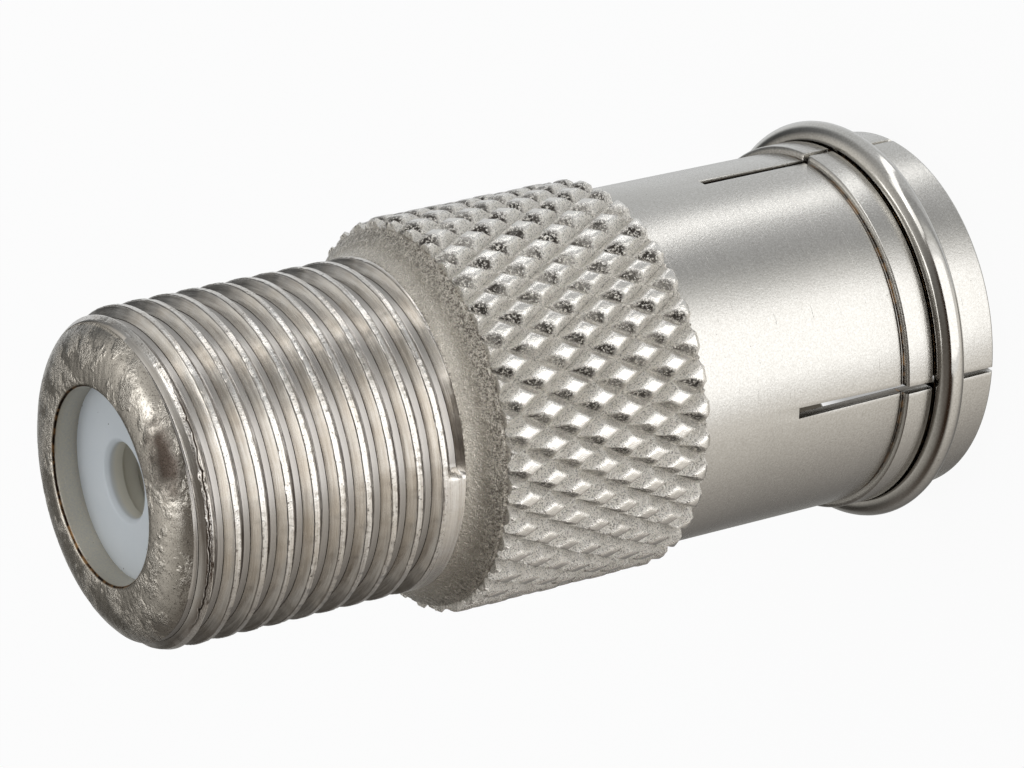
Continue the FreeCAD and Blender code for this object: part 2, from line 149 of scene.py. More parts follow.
def block_faces(made, start):
    """The faces of one block whose first point has the number start."""
    rows, columns = made["points"].shape[:2]
    faces = []
    for row in range(rows - 1):
        for column in range(columns):
            step = made["climb"] if column == columns - 1 else 0
            if row + 1 + step > rows - 1:
                continue
            after = (column + 1) % columns
            a = start + row * columns + column
            b = start + (row + step) * columns + after
            c = b + columns
            d = a + columns
            if made["diagonal"] is None:
                faces.append((a, b, c, d))
            elif made["diagonal"][row, column]:
                faces += [(a, b, d), (b, c, d)]
            else:
                faces += [(a, b, c), (a, c, d)]
    return faces


print("two rings of four points make", len(block_faces(block(np.zeros((2, 4, 3)), "metal"), 0)), "faces")

# %% [markdown]
# ## From faces to an object
#
# The blocks are welded where they touch, and shading is rounded except over sharp edges. A mark is a
# number kept at each point, such as how dirty it is, that the materials read later on.

# %% Meshes
WELD_MM = 0.00005


def mesh_of(name, blocks, finishes, marks=None, sharp_deg=35):
    """One object from blocks of rings that share their end rings."""
    points = np.concatenate([made["points"].reshape(-1, 3) for made in blocks]) * MM
    faces, slots, start = [], [], 0
    for made in blocks:
        new = block_faces(made, start)
        faces += new
        slots += [finishes.index(made["finish"])] * len(new)
        start += made["points"].shape[0] * made["points"].shape[1]
    data = bpy.data.meshes.new(name)
    data.from_pydata(points.tolist(), [], faces)
    data.polygons.foreach_set("material_index", slots)
    for mark, values in (marks or {}).items():
        data.attributes.new(mark, "FLOAT", "POINT").data.foreach_set("value", values)
    return finished_object(name, data, sharp_deg)


def finished_object(name, data, sharp_deg):
    """Welds what touches, turns the faces outward and rounds the shading between sharp edges."""
    work = bmesh.new()
    work.from_mesh(data)
    bmesh.ops.remove_doubles(work, verts=work.verts, dist=WELD_MM * MM)
    bmesh.ops.dissolve_degenerate(work, edges=work.edges, dist=WELD_MM * MM)
    bmesh.ops.recalc_face_normals(work, faces=work.faces)
    work.to_mesh(data)
    work.free()
    data.polygons.foreach_set("use_smooth", [True] * len(data.polygons))
    data.set_sharp_from_angle(angle=math.radians(sharp_deg))
    made = bpy.data.objects.new(name, data)
    bpy.context.scene.collection.objects.link(made)
    print(name, "has", sum(len(p.vertices) - 2 for p in data.polygons), "triangles")
    return made


print("points closer than", WELD_MM, "mm are welded")

# %% [markdown]
# ## The body's main sizes
#
# The jack's barrel is 9.4 mm over a 3/8-32 thread, the grip is 11.2 mm over its knurl, and the heights
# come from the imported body. The number of columns is a multiple of the 36 knurl starts, so that every
# diamond is meshed alike.

# %% Sizes of the body
BARREL_R = 4.70
BARREL_START_Z = 17.40
NOSE_ROUND = 1.0
NOSE_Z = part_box("body")[1].z / MM
JACK_BORE_R = 2.72
BORE_BEVEL = 0.12
SEAT_Z = 25.25
INSULATOR_R = 3.05
COUNTERBORE_R = 4.30
COUNTERBORE_Z = 14.0
KNURL_LOW_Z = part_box("body")[0].z / MM
KNURL_HIGH_Z = 16.45
RIM_R = 5.32
RIM_Z = 16.57
HOLLOW_R = 5.00
HOLLOW_Z = 16.88
HOLLOW_FILLET = 0.6
KNURL_STARTS = 36
CELLS = 7
COLUMNS = 2 * CELLS * KNURL_STARTS
print("body from", round(KNURL_LOW_Z, 2), "to", round(NOSE_Z, 2), "mm, with", COLUMNS, "columns")

# %% [markdown]
# ## The nose of the jack
#
# The end of the barrel was cast and only lightly turned: a ring round the bore that falls a little
# outward, a big rounding into the thread, and a lumpy skin that the plating shows up. The lumps are pushed
# into the mesh, and the finer grain is left to the finish. The rounding's radius follows from the fall of
# the face, so that the two meet without a crease.

# %% Nose and bore
CAST_LUMP = 0.014
FACE_FALL = 0.09
BORE_RIM_R = JACK_BORE_R + BORE_BEVEL
FACE_R = BARREL_R - NOSE_ROUND
FACE_TILT = math.atan(2 * FACE_FALL / (FACE_R - BORE_RIM_R))
ROUND_R = (BARREL_R - FACE_R) / (1 - math.sin(FACE_TILT))
ROUND_START_Z = NOSE_Z - FACE_FALL - ROUND_R * math.cos(FACE_TILT)
RUN_OUT_DEG = 42
BIG_LUMP, SMALL_LUMP = 0.45, 0.16
BORE_ROWS = 7
LUMPS_FADE_ROWS = 3


def cast_skin(points, amount, seed):
    """A lumpy cast surface: two sizes of lump that sink below the turned one by up to amount mm."""
    lumps = 0.7 * ripple(points, BIG_LUMP, seed) + 0.5 * ripple(points, SMALL_LUMP, seed + 1)
    made = pushed(points, amount * np.minimum(lumps, 0.2) * 0.6)
    made[..., 2] += -amount * np.abs(lumps)
    return made


def nose_corners():
    """From the insulator's seat up the bore, over the face and round to where the thread runs out."""
    bore = [(JACK_BORE_R, z) for z in np.linspace(SEAT_Z, NOSE_Z - BORE_BEVEL, 4)[:-1]]
    rim = arc(BORE_RIM_R, NOSE_Z - BORE_BEVEL, BORE_BEVEL, 180, 90, 4)
    radii = np.linspace(BORE_RIM_R, FACE_R, 9)[1:-1]
    face = [(r, NOSE_Z - FACE_FALL * ((r - BORE_RIM_R) / (FACE_R - BORE_RIM_R)) ** 2) for r in radii]
    rounding = arc(BARREL_R - ROUND_R, ROUND_START_Z, ROUND_R, 90 - math.degrees(FACE_TILT),
                   RUN_OUT_DEG, 8)
    return bore + rim + face + rounding


def nose_block():
    """The nose as rings, with its cast lumps."""
    made = rings(nose_corners(), COLUMNS)
    rows = np.arange(len(made))
    share = (np.clip((rows - BORE_ROWS + 2) / LUMPS_FADE_ROWS, 0, 1)
             * np.clip((len(made) - 1 - rows) / LUMPS_FADE_ROWS, 0, 1))
    return made + (cast_skin(made, CAST_LUMP, 1) - made) * share[:, None, None]


nose = nose_block()
print("nose rings:", len(nose), "rounding", round(ROUND_R, 2), "mm")

# %% [markdown]
# ## The thread's profile
#
# A 3/8-32 thread: 32 turns to the inch, right-handed. A worn die leaves a flat crest, a steep side
# towards the jack, and a root that still slopes a little. The steep side mirrors the light that comes off
# the next turn, so its shading must stay flat: a row of points close to each of its ends holds it.

# %% Thread profile
PITCH = 25.4 / 32
THREAD_DEPTH = 0.36
ROOT_PHASE_Z = 24.17
THREAD_END_DEG = -87
REAR_SIDE = 0.23
CREST_FLAT = 0.145
JACK_SIDE = 0.175
EDGE_ROUND = 0.022
SIDE_TILT_DEG = 60
HOLD = 0.012


def thread_profile():
    """Heights within one pitch, from the root's deepest line towards the jack, and what is there.

    A row is height, depth, crest mark, dirt and shade mark and root mark. Two rows hold the steep side
    flat.
    """
    crest = REAR_SIDE + CREST_FLAT
    edge = crest + EDGE_ROUND
    foot = edge + JACK_SIDE
    drop = math.tan(math.radians(SIDE_TILT_DEG)) / THREAD_DEPTH
    low = 0.05 + drop * JACK_SIDE
    steps = [(0, 1, 0, 1.1, 0.75), (REAR_SIDE - EDGE_ROUND, 0.06, 0.2, 0, 0), (REAR_SIDE, 0, 1, 0, 0),
             (crest, 0, 1, 0.5, 0), (edge, 0.05, 0.2, 1.2, 0),
             (edge + HOLD, 0.05 + drop * HOLD, 0, 0.4, 0), (foot - HOLD, low - drop * HOLD, 0, 0.5, 0),
             (foot, low, 0, 1.2, 0.5), (foot + 2 * HOLD, low + 0.01, 0, -0.3, 1)]
    return np.array(steps).T


print("thread profile of", thread_profile().shape[1], "rows in a pitch of", round(PITCH, 3), "mm")

# %% [markdown]
# ## The thread
#
# The thread could be cut with a boolean, but a climbing grid is lighter and keeps clean edges: each ring
# of points follows the helix at one place of the profile. The cut dies out in the rounding of the nose,
# and ends bluntly just before the shoulder. The crest wavers a little and is nicked, as handled metal is.

# %% Thread
BLUNT_END_TURNS = 0.008
CREST_WAVER = 0.012
NICK_DEPTH = 0.03


def thread_block():
    """The rings that climb with the thread, from the plain land at the shoulder into the rounding."""
    heights, depths, crests, shaded_and_dirty, roots = thread_profile()
    per_turn = len(heights)
    top = ROUND_START_Z + ROUND_R * math.radians(RUN_OUT_DEG)
    turns = int(math.ceil((top - BARREL_START_Z) / PITCH)) + 3
    first = ROOT_PHASE_Z + PITCH / 2 - REAR_SIDE - CREST_FLAT / 2
    first -= PITCH * math.ceil((ROOT_PHASE_Z - BARREL_START_Z) / PITCH + 1)
    along = np.concatenate([first + PITCH * n + heights for n in range(turns)])
    angle = round_angles(COLUMNS)
    s = along[:, None] + PITCH * angle[None, :] / (2 * math.pi)
    helix = (s - ROOT_PHASE_Z) / PITCH - angle[None, :] / (2 * math.pi)
    lowest = round((BARREL_START_Z - ROOT_PHASE_Z) / PITCH) + 1
    turn = np.floor(helix + 0.5) + angle[None, :] / (2 * math.pi)
    end = lowest + math.radians(THREAD_END_DEG % 360) / (2 * math.pi) - 1
    alive = np.clip((turn - end) / BLUNT_END_TURNS, 0, 1)
    s = np.clip(s, BARREL_START_Z, top)
    bend = np.clip((s - ROUND_START_Z) / ROUND_R, 0, None)
    base_r = BARREL_R - ROUND_R + ROUND_R * np.cos(bend)
    z = np.where(s > ROUND_START_Z, ROUND_START_Z + ROUND_R * np.sin(bend), s)
    cut = np.tile(depths, turns)[:, None]
    depth = np.clip(cut * THREAD_DEPTH * alive - (BARREL_R - base_r), 0, None)
    inside = (s > BARREL_START_Z) & (s < top)
    points = np.stack([(base_r - depth) * np.cos(angle), (base_r - depth) * np.sin(angle), z], axis=-1)
    crest = np.tile(crests, turns)[:, None] * inside
    dirt_and_shade = np.tile(shaded_and_dirty, turns)[:, None] * alive * inside * (depth > 0)
    root = np.tile(roots, turns)[:, None] * alive * inside
    nicks = np.clip(ripple(points, 0.11, 5) + 0.4 * ripple(points, 0.5, 6) - 0.15, 0, 1)
    marks = {"crest": crest, "dirt_and_shade": dirt_and_shade, "root": root, "land": (1 - alive) * inside}
    points[..., 2] += CREST_WAVER * ripple(points, 0.45, 7) * inside * (cut < 0.5)
    return pushed(points, -NICK_DEPTH * nicks * (crest > 0.5)), marks, per_turn


thread, thread_marks, THREAD_CLIMB = thread_block()
print("thread of", round((NOSE_Z - BARREL_START_Z) / PITCH, 1), "turns")

# %% [markdown]
# ## The shoulder
#
# Behind the thread a small fillet runs up to a shallow cone, then to the rim that the knurling wheel left
# untouched. It is the same granular cast skin as the nose.

# %% Shoulder
SHOULDER_LUMP = 0.018


def shoulder_corners():
    """From the knurl's front end up over the rim and down the hollow to the barrel."""
    hollow = arc(BARREL_R + HOLLOW_FILLET, BARREL_START_Z, HOLLOW_FILLET, 240, 180, 6)
    cone = [(r, RIM_Z + (RIM_R - r) / (RIM_R - HOLLOW_R) * (HOLLOW_Z - RIM_Z))
            for r in np.linspace(RIM_R, HOLLOW_R, 4)]
    return [(RIM_R, KNURL_HIGH_Z)] + cone + hollow[1:]


shoulder = rings(shoulder_corners(), COLUMNS)
shoulder_share = np.array([0, 0.4, 1, 1, 1, 1, 1, 1, 0.6, 0.3, 0])[:, None, None]
shoulder = shoulder + (cast_skin(shoulder, SHOULDER_LUMP, 3) - shoulder) * shoulder_share
print("shoulder rings:", len(shoulder))

# %% [markdown]
# ## One diamond
#
# Two sets of crossing grooves leave rows of diamonds. A wheel pressed into metal doesn't leave perfect
# pyramids: the tops stay flat where the wheel didn't reach. So a diamond's height follows the nearer
# groove, and is eased into a flat.

# %% Diamond
GROOVE_R = 5.26
TOP_R = 5.60
TOP_SHARE = 0.42
TOP_SOFTNESS = 0.22
DIAMOND_Z = 0.818
FIRST_ROW_Z = 10.14
EDGE_CHAMFER = 0.10


def soft_cap(value, limit, softness):
    """value, eased into a flat top at limit."""
    gap = np.clip((value - limit) / softness * 0.5 + 0.5, 0, 1)
    return value + (limit - value) * gap - softness * gap * (1 - gap)


def diamond_height(a, b):
    """0 in a groove and 1 on a top, for a and b counted in half diamonds round and along the grip."""
    one = np.abs((a + b) % 2 - 1)
    other = np.abs((a - b) % 2 - 1)
    return soft_cap(np.minimum(one, other) / (1 - TOP_SHARE), 1.0, TOP_SOFTNESS)


print("a diamond is", round(math.pi * 2 * TOP_R / KNURL_STARTS, 2), "by", 2 * DIAMOND_Z, "mm")

# %% [markdown]
# ## The knurl
#
# The side of each diamond that the wheel left last is torn: it is the side that rises towards +a and -b.
# The grid's quads are split along the grooves, so the grooves stay crisp. Three marks are kept for the
# finish: how far a point lies on a torn side, on a flat top and in a groove.

# %% Knurl
TORN_LEAN = 0.14
TORN_RISE = 0.10
TORN_FROM_HEIGHT = 0.08
MIDDLE_R = 5.4
WORN_DEPTH = 0.02
SKIN_DEPTH = 0.004
TORN_DEPTH = 0.045


def knurl_block():
    """The rings of the grip, with its three marks, and where its quads are split the other way."""
    inner = FIRST_ROW_Z + np.arange(-1, 54) * DIAMOND_Z / CELLS
    inner = inner[(inner > KNURL_LOW_Z + 0.01) & (inner < KNURL_HIGH_Z - 0.01)]
    z = np.concatenate([[KNURL_LOW_Z], inner, [KNURL_HIGH_Z]])
    angle = round_angles(COLUMNS)
    a = (angle * KNURL_STARTS / math.pi)[None, :]
    b = ((z - FIRST_ROW_Z) / DIAMOND_Z)[:, None]
    height = diamond_height(a, b)
    toward_top = diamond_height(a + TORN_LEAN, b - TORN_LEAN) - height
    torn = np.clip(toward_top / TORN_RISE, 0, 1) * (height > TORN_FROM_HEIGHT)
    base = np.stack([MIDDLE_R * np.cos(angle) * np.ones_like(b), MIDDLE_R * np.sin(angle) * np.ones_like(b),
                     z[:, None] * np.ones_like(a)], axis=-1)
    torn = torn * np.clip(0.95 + 0.8 * ripple(base, 0.7, 10), 0, 1)
    wear = WORN_DEPTH * ripple(base, 1.1, 8) * height
    wear = wear + ripple(base, 0.15, 9) * (SKIN_DEPTH + TORN_DEPTH * torn)
    radius = GROOVE_R + (TOP_R - GROOVE_R) * height + np.minimum(wear, 0.0)
    from_ends = np.minimum(z - KNURL_LOW_Z, KNURL_HIGH_Z - z)[:, None]
    radius = np.minimum(radius, TOP_R - EDGE_CHAMFER + 0.7 * from_ends)
    points = np.stack([radius * np.cos(angle), radius * np.sin(angle), base[..., 2]], axis=-1)
    marks = {"torn": torn, "top": np.clip((height - 0.86) / 0.1, 0, 1),
             "groove": np.clip(1 - height / 0.16, 0, 1)}
    column = (np.arange(COLUMNS)[None, :] + 0.5) / CELLS % 2
    row = ((z[:-1] + z[1:])[:, None] / 2 - FIRST_ROW_Z) / DIAMOND_Z % 2
    return points, marks, ~((column < 1) ^ (row < 1))


knurl, knurl_marks, knurl_split = knurl_block()
print("knurl with", KNURL_STARTS, "starts and", len(knurl), "rings")

# %% [markdown]
# ## The body as one mesh
#
# The blocks share their end rings, so welding them gives one closed skin: bore, nose, thread, shoulder,
# knurl, rear face, and the bores inside that hold the insulators.

# %% Body blocks
rear_face = rings([(GROOVE_R - 0.02, KNURL_LOW_Z), (COUNTERBORE_R, KNURL_LOW_Z),
                   (COUNTERBORE_R, COUNTERBORE_Z), (INSULATOR_R, COUNTERBORE_Z),
                   (INSULATOR_R, SEAT_Z), (JACK_BORE_R, SEAT_Z)], COLUMNS)
body_blocks = [
    block(np.concatenate([rear_face, nose[:1]]), "bore"),
    block(nose[:BORE_ROWS], "bore"),
    block(nose[BORE_ROWS - 1:], "cast"),
    block(thread, "thread", climb=THREAD_CLIMB),
    block(shoulder, "cast_shoulder"),
    block(np.concatenate([knurl[-1:], shoulder[:1]]), "knurl"),
    block(knurl, "knurl", diagonal=knurl_split),
    block(np.concatenate([rear_face[:1], knurl[:1]]), "knurl"),
]
NOSE_BLOCK, THREAD_BLOCK, SHOULDER_BLOCK, KNURL_BLOCK = 2, 3, 4, 6
BODY_FINISHES = ["cast", "thread", "cast_shoulder", "knurl", "bore"]
print("body of", len(body_blocks), "blocks with", len(BODY_FINISHES), "finishes")

# %% [markdown]
# ## Marks on the body
#
# Three more marks are painted by place: the brown patch that the casting left on the rounding, the side
# where a crack runs beside it, and the shoulder's hollow beside the barrel, where less pit shade is
# painted.

# %% Body
PATCH_DEG = -58
PATCH_HALF_DEG = 17
PATCH_Z = 25.80
PATCH_HALF_Z = 0.22
CRACK_Z = 25.17
CRACK_FROM_DEG, CRACK_TO_DEG = -132, -28
CRACK_FADE_DEG = 15
FEWER_PIT_SHADE_R = 5.15
FEWER_PIT_SHADE_FADE = 0.3


def marks_for(blocks, marked):
    """One value a point for the whole body, from arrays given for some of its blocks."""
    values = []
    for number, made in enumerate(blocks):
        rows, columns = made["points"].shape[:2]
        values.append(marked.get(number, np.zeros((rows, columns))).ravel())
    return np.concatenate(values)


def patch_mark(points):
    """1 in the middle of the brown patch, fading out at its ragged edge."""
    degrees = np.degrees(np.arctan2(points[..., 1], points[..., 0]))
    away = np.hypot((degrees - PATCH_DEG) / PATCH_HALF_DEG, (points[..., 2] - PATCH_Z) / PATCH_HALF_Z)
    return np.clip(1.6 * (1 - away) + 0.5 * ripple(points, 0.3, 12), 0, 1)


def crack_mark(points):
    """1 where the crack runs, by the angle alone."""
    degrees = np.degrees(np.arctan2(points[..., 1], points[..., 0]))
    return (np.clip((degrees - CRACK_FROM_DEG) / CRACK_FADE_DEG, 0, 1)
            * np.clip((CRACK_TO_DEG - degrees) / CRACK_FADE_DEG, 0, 1))


def fewer_pit_shade_mark(points):
    """1 in the hollow beside the barrel, fading out towards the rim."""
    return np.clip((FEWER_PIT_SHADE_R - np.hypot(points[..., 0], points[..., 1])) / FEWER_PIT_SHADE_FADE, 0, 1)


near_nose = {number: body_blocks[number]["points"] for number in (NOSE_BLOCK, THREAD_BLOCK)}
body = mesh_of("turned_body", body_blocks, BODY_FINISHES, {
    "patch": marks_for(body_blocks, {n: patch_mark(points) for n, points in near_nose.items()}),
    "crack": marks_for(body_blocks, {n: crack_mark(points) for n, points in near_nose.items()}),
    "fewer_pit_shade": marks_for(body_blocks, {SHOULDER_BLOCK: fewer_pit_shade_mark(shoulder)}),
    **{mark: marks_for(body_blocks, {THREAD_BLOCK: values}) for mark, values in thread_marks.items()},
    **{mark: marks_for(body_blocks, {KNURL_BLOCK: values}) for mark, values in knurl_marks.items()}})
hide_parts("body")
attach(body, "root")

# %% [markdown]
# ## The push-on sleeve's sizes
#
# A thin tube with four saw cuts that turn its mouth into spring fingers. The cuts narrow towards the lip,
# because the ring squeezes the fingers together. Above the lip lie the ring's groove, a band, and a step up
# to the plain tube. The web and shank, which nobody sees, close the tube inside the body.

# %% Sleeve sizes
SLEEVE_R = 5.17
LIP_R = 5.28
BAND_R = 5.36
RING_GROOVE_R = 5.01
MOUTH_R = 4.80
WEB_LOW_Z = 8.6
WEB_HIGH_Z = KNURL_LOW_Z
SHANK_Z = 13.9
HUB_R = 2.60
SLOT_ROOT_Z = 6.75
SLOT_ROOT_WIDTH = 0.33
SLOT_LIP_WIDTH = 0.14
SLOTS = 4
FINGER_COLUMNS = 72
GROOVE_LOW_Z = 1.24
GROOVE_HIGH_Z = 2.24
BAND_HIGH_Z = 3.07
STEP_Z = 3.20
LIP_CHAMFER = 0.06
MOUTH_CHAMFER = 0.15
BAND_CHAMFER = 0.09
UNDERCUT = 0.05
TURNED_EDGE = 0.03
print("sleeve with", SLOTS, "fingers", round(math.pi * 2 * SLEEVE_R / SLOTS, 1), "mm wide")

# %% [markdown]
# ## The sleeve's outline
#
# The outline goes up the outside from the lip, over the web and shank, and back down the mouth. Every
# turned edge gets a tiny round, because a real edge is never sharp and the round is what catches light.

# %% Sleeve outline
def eased(corners, radius, steps=2):
    """The corners of a closed outline, each replaced by a small round of about radius mm."""
    made = []
    count = len(corners)
    for number, corner in enumerate(corners):
        here = np.array(corner)
        before = np.array(corners[number - 1]) - here
        after = np.array(corners[(number + 1) % count]) - here
        cut = min(radius, 0.4 * np.linalg.norm(before), 0.4 * np.linalg.norm(after))
        start = here + before / np.linalg.norm(before) * cut
        stop = here + after / np.linalg.norm(after) * cut
        for t in np.linspace(0, 1, steps + 1):
            made.append(tuple((1 - t) ** 2 * start + 2 * t * (1 - t) * here + t * t * stop))
    return made


sleeve_corners = [
    (LIP_R - LIP_CHAMFER, 0), (LIP_R, LIP_CHAMFER), (LIP_R, GROOVE_LOW_Z), (RING_GROOVE_R, GROOVE_LOW_Z),
    (RING_GROOVE_R, GROOVE_HIGH_Z), (BAND_R, GROOVE_HIGH_Z), (BAND_R, BAND_HIGH_Z),
    (BAND_R - BAND_CHAMFER, BAND_HIGH_Z + 0.05), (SLEEVE_R - UNDERCUT, BAND_HIGH_Z + 0.06),
    (SLEEVE_R - UNDERCUT, STEP_Z - 0.02), (SLEEVE_R, STEP_Z + 0.02), (SLEEVE_R, WEB_HIGH_Z),
    (COUNTERBORE_R, WEB_HIGH_Z), (COUNTERBORE_R, SHANK_Z), (HUB_R, SHANK_Z), (HUB_R, WEB_LOW_Z),
    (MOUTH_R, WEB_LOW_Z), (MOUTH_R, MOUTH_CHAMFER), (MOUTH_R + MOUTH_CHAMFER, 0),
]


def with_level(corners, level):
    """The closed outline with a corner added wherever it crosses a level."""
    made = []
    for number, corner in enumerate(corners):
        after = corners[(number + 1) % len(corners)]
        made.append(corner)
        if (corner[1] - level) * (after[1] - level) < 0:
            share = (level - corner[1]) / (after[1] - corner[1])
            made.append((corner[0] + share * (after[0] - corner[0]), level))
    return made


sleeve_outline = eased(sleeve_corners, TURNED_EDGE)
for level in (1.0, 2.6, 4.4, 5.6, SLOT_ROOT_Z, 7.6):
    sleeve_outline = with_level(sleeve_outline, level)
print("sleeve outline has", len(sleeve_outline), "points")

# %% [markdown]
# ## The sleeve's mesh
#
# The outline is swept round in columns that start and stop at the cuts, so each ring of points is spaced
# to fit the cut's width at its height. Where a cut is open its cells are left out, and flat walls close the
# fingers' sides. The sawn edges get a small bevel of their own.

# %% Sleeve mesh
SAWN_EDGE = 0.015


def slot_width(z):
    """The saw cut's width at a height."""
    share = np.clip(z / SLOT_ROOT_Z, 0, 1)
    return SLOT_LIP_WIDTH + (SLOT_ROOT_WIDTH - SLOT_LIP_WIDTH) * share


def sleeve_points(corners):
    """The outline's points in columns: each finger's columns run from one side of a cut to the next."""
    columns = SLOTS * (FINGER_COLUMNS + 1)
    made = np.zeros((len(corners), columns, 3))
    for row, (r, z) in enumerate(corners):
        half = slot_width(z) / 2 / r
        for slot in range(SLOTS):
            middle = slot * 2 * math.pi / SLOTS
            angles = np.linspace(middle + half, middle + 2 * math.pi / SLOTS - half, FINGER_COLUMNS + 1)
            first = slot * (FINGER_COLUMNS + 1)
            made[row, first:first + FINGER_COLUMNS + 1] = np.column_stack(
                [r * np.cos(angles), r * np.sin(angles), np.full(FINGER_COLUMNS + 1, z)])
    return made


def sleeve_mesh(name):
    """The sleeve: quads round the outline, open and walled where a cut is."""
    points = sleeve_points(sleeve_outline)
    rows, columns = points.shape[:2]
    work = bmesh.new()
    verts = [[work.verts.new(p * MM) for p in ring] for ring in points]
    in_cut = [z <= SLOT_ROOT_Z + 1e-6 for _, z in sleeve_outline]
    edge_pairs = []
    for row in range(rows):
        below = (row + 1) % rows
        for column in range(columns):
            after = (column + 1) % columns
            is_cut = column % (FINGER_COLUMNS + 1) == FINGER_COLUMNS
            if is_cut and in_cut[row] and in_cut[below]:
                edge_pairs += [(verts[row][c], verts[below][c]) for c in (column, after)]
                continue
            work.faces.new((verts[row][column], verts[row][after], verts[below][after],
                            verts[below][column]))
    wall_rows = [row for row in range(rows) if in_cut[row]]
    turn = next(i for i, row in enumerate(wall_rows[:-1]) if wall_rows[i + 1] != row + 1)
    ordered = wall_rows[turn + 1:] + wall_rows[:turn + 1]
    walls = []
    for slot in range(SLOTS):
        column = slot * (FINGER_COLUMNS + 1) + FINGER_COLUMNS
        for side in (column, (column + 1) % columns):
            walls.append(work.faces.new([verts[row][side] for row in ordered]))
        after = (column + 1) % columns
        outer, inner = ordered[-1], ordered[0]
        work.faces.new((verts[outer][column], verts[outer][after], verts[inner][after],
                        verts[inner][column]))
        edge_pairs.append((verts[outer][column], verts[outer][after]))
    bmesh.ops.recalc_face_normals(work, faces=work.faces)
    edges = [work.edges.get(pair) for pair in edge_pairs]
    bmesh.ops.triangulate(work, faces=walls)
    bmesh.ops.bevel(work, geom=[e for e in edges if e], offset=SAWN_EDGE * MM, segments=2, profile=0.5,
                    affect="EDGES", clamp_overlap=True)
    data = bpy.data.meshes.new(name)
    work.to_mesh(data)
    work.free()
    return finished_object(name, data, 35)


sleeve = sleeve_mesh("push_sleeve")
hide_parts("sleeve")
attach(sleeve, "root")

# %% [markdown]
# ## The spring ring
#
# A piece of round spring wire, bent into a ring that isn't quite closed, snaps into the groove and holds
# the fingers in. It is a tube along an arc, with its two sawn ends slightly rounded.

# %% Spring ring
SAWN_END = 0.06
WIRE_R = 0.43
RING_R = 5.44
RING_Z = 1.74
RING_GAP_DEG = 7
RING_GAP_AT_DEG = 118


def wire_ring(name, around=240, section=40):
    """The open ring: rings of points round the wire, from one sawn end to the other."""
    start = math.radians(RING_GAP_AT_DEG + RING_GAP_DEG / 2)
    stop = math.radians(RING_GAP_AT_DEG + 360 - RING_GAP_DEG / 2)
    ease = SAWN_END / RING_R
    along = [start, start + ease * 0.3, *np.linspace(start + ease, stop - ease, around),
             stop - ease * 0.3, stop]
    sizes = [0.80, 0.94, *np.ones(around), 0.94, 0.80]
    work = bmesh.new()
    loops = []
    for angle, share in zip(along, sizes):
        loop = []
        for step in range(section):
            turn = 2 * math.pi * step / section
            r = RING_R + WIRE_R * share * math.cos(turn)
            z = RING_Z + WIRE_R * share * math.sin(turn)
            loop.append(work.verts.new(Vector((r * math.cos(angle), r * math.sin(angle), z)) * MM))
        loops.append(loop)
    for one, other in zip(loops, loops[1:]):
        for step in range(section):
            after = (step + 1) % section
            work.faces.new((one[step], one[after], other[after], other[step]))
    work.faces.new(loops[0])
    work.faces.new(loops[-1])
    data = bpy.data.meshes.new(name)
    work.to_mesh(data)
    work.free()
    return finished_object(name, data, 50)


ring = wire_ring("wire_ring")
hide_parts("spring_ring")
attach(ring, "root")

# %% [markdown]
# ## Insulator and centre pin
#
# The white insulator is moulded, so its edges are soft. The centre pin is turned, with a tapered tip that
# finds the hole of the jack it is pushed on to. The rear insulator and the socket contact keep their CAD
# meshes, since hardly more than a face of either can be seen.

# %% Turned small parts
def turned_piece(name, corners, columns, node, ease):
    """A closed outline swept round the axis, in place of a CAD node."""
    closed = eased(corners, ease, 3)
    made = mesh_of(name, [block(rings(closed + closed[:1], columns), name)], [name])
    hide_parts(node)
    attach(made, "root")
    return made


CAVITY_R = 1.20
ENTRY_R = 1.05
ENTRY_Z = 24.70
FRONT_INSULATOR_LOW_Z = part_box("front_insulator")[0].z / MM
front = turned_piece("white_insulator", [
    (ENTRY_R, ENTRY_Z), (ENTRY_R, SEAT_Z - 0.12), (ENTRY_R + 0.12, SEAT_Z), (INSULATOR_R, SEAT_Z),
    (INSULATOR_R, FRONT_INSULATOR_LOW_Z), (CAVITY_R, FRONT_INSULATOR_LOW_Z), (CAVITY_R, ENTRY_Z),
], 144, "front_insulator", 0.05)

PIN_R = 0.50
PIN_TIP_R = 0.18
SHANK_PIN_R = 0.70
PIN_LOW_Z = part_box("centre_pin")[0].z / MM
PIN_HIGH_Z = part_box("centre_pin")[1].z / MM
pin = turned_piece("pin", [
    (0.001, PIN_LOW_Z), (PIN_TIP_R, PIN_LOW_Z), (PIN_R, PIN_LOW_Z + 0.55), (PIN_R, WEB_LOW_Z),
    (SHANK_PIN_R, WEB_LOW_Z), (SHANK_PIN_R, PIN_HIGH_Z), (0.001, PIN_HIGH_Z),
], 64, "centre_pin", 0.08)

# %% [markdown]
# ## Colours and nodes
#
# Colours are written as sRGB hex and turned into the linear values that the shader works in. One small
# function adds a node: it sets the node's settings, fills or links its inputs, and hands back the output
# that the next node takes. Patterns are given their real size in millimetres. A noise shows features of
# about twice its size, so the sizes below are half of what the eye reads.

# %% Node helper
def linear(hex_colour):
    """An sRGB hex colour as linear RGBA."""
    parts = [int(hex_colour[i:i + 2], 16) / 255 for i in (1, 3, 5)]
    return [p / 12.92 if p <= 0.04045 else ((p + 0.055) / 1.055) ** 2.4 for p in parts] + [1.0]


def add(tree, kind, inputs=(), output=0, **settings):
    """Adds a shader node with its settings, and gives back one of its outputs.

    The inputs are numbers, hex colours or the outputs that feed them, in order or by name or number.
    """
    made = tree.nodes.new("ShaderNode" + kind)
    for name, value in settings.items():
        setattr(made, name, value)
    for name, value in inputs.items() if isinstance(inputs, dict) else enumerate(inputs):
        if isinstance(value, bpy.types.NodeSocket):
            tree.links.new(value, made.inputs[name])
        else:
            made.inputs[name].default_value = linear(value) if isinstance(value, str) else value
    return made.outputs[output] if len(made.outputs) else None


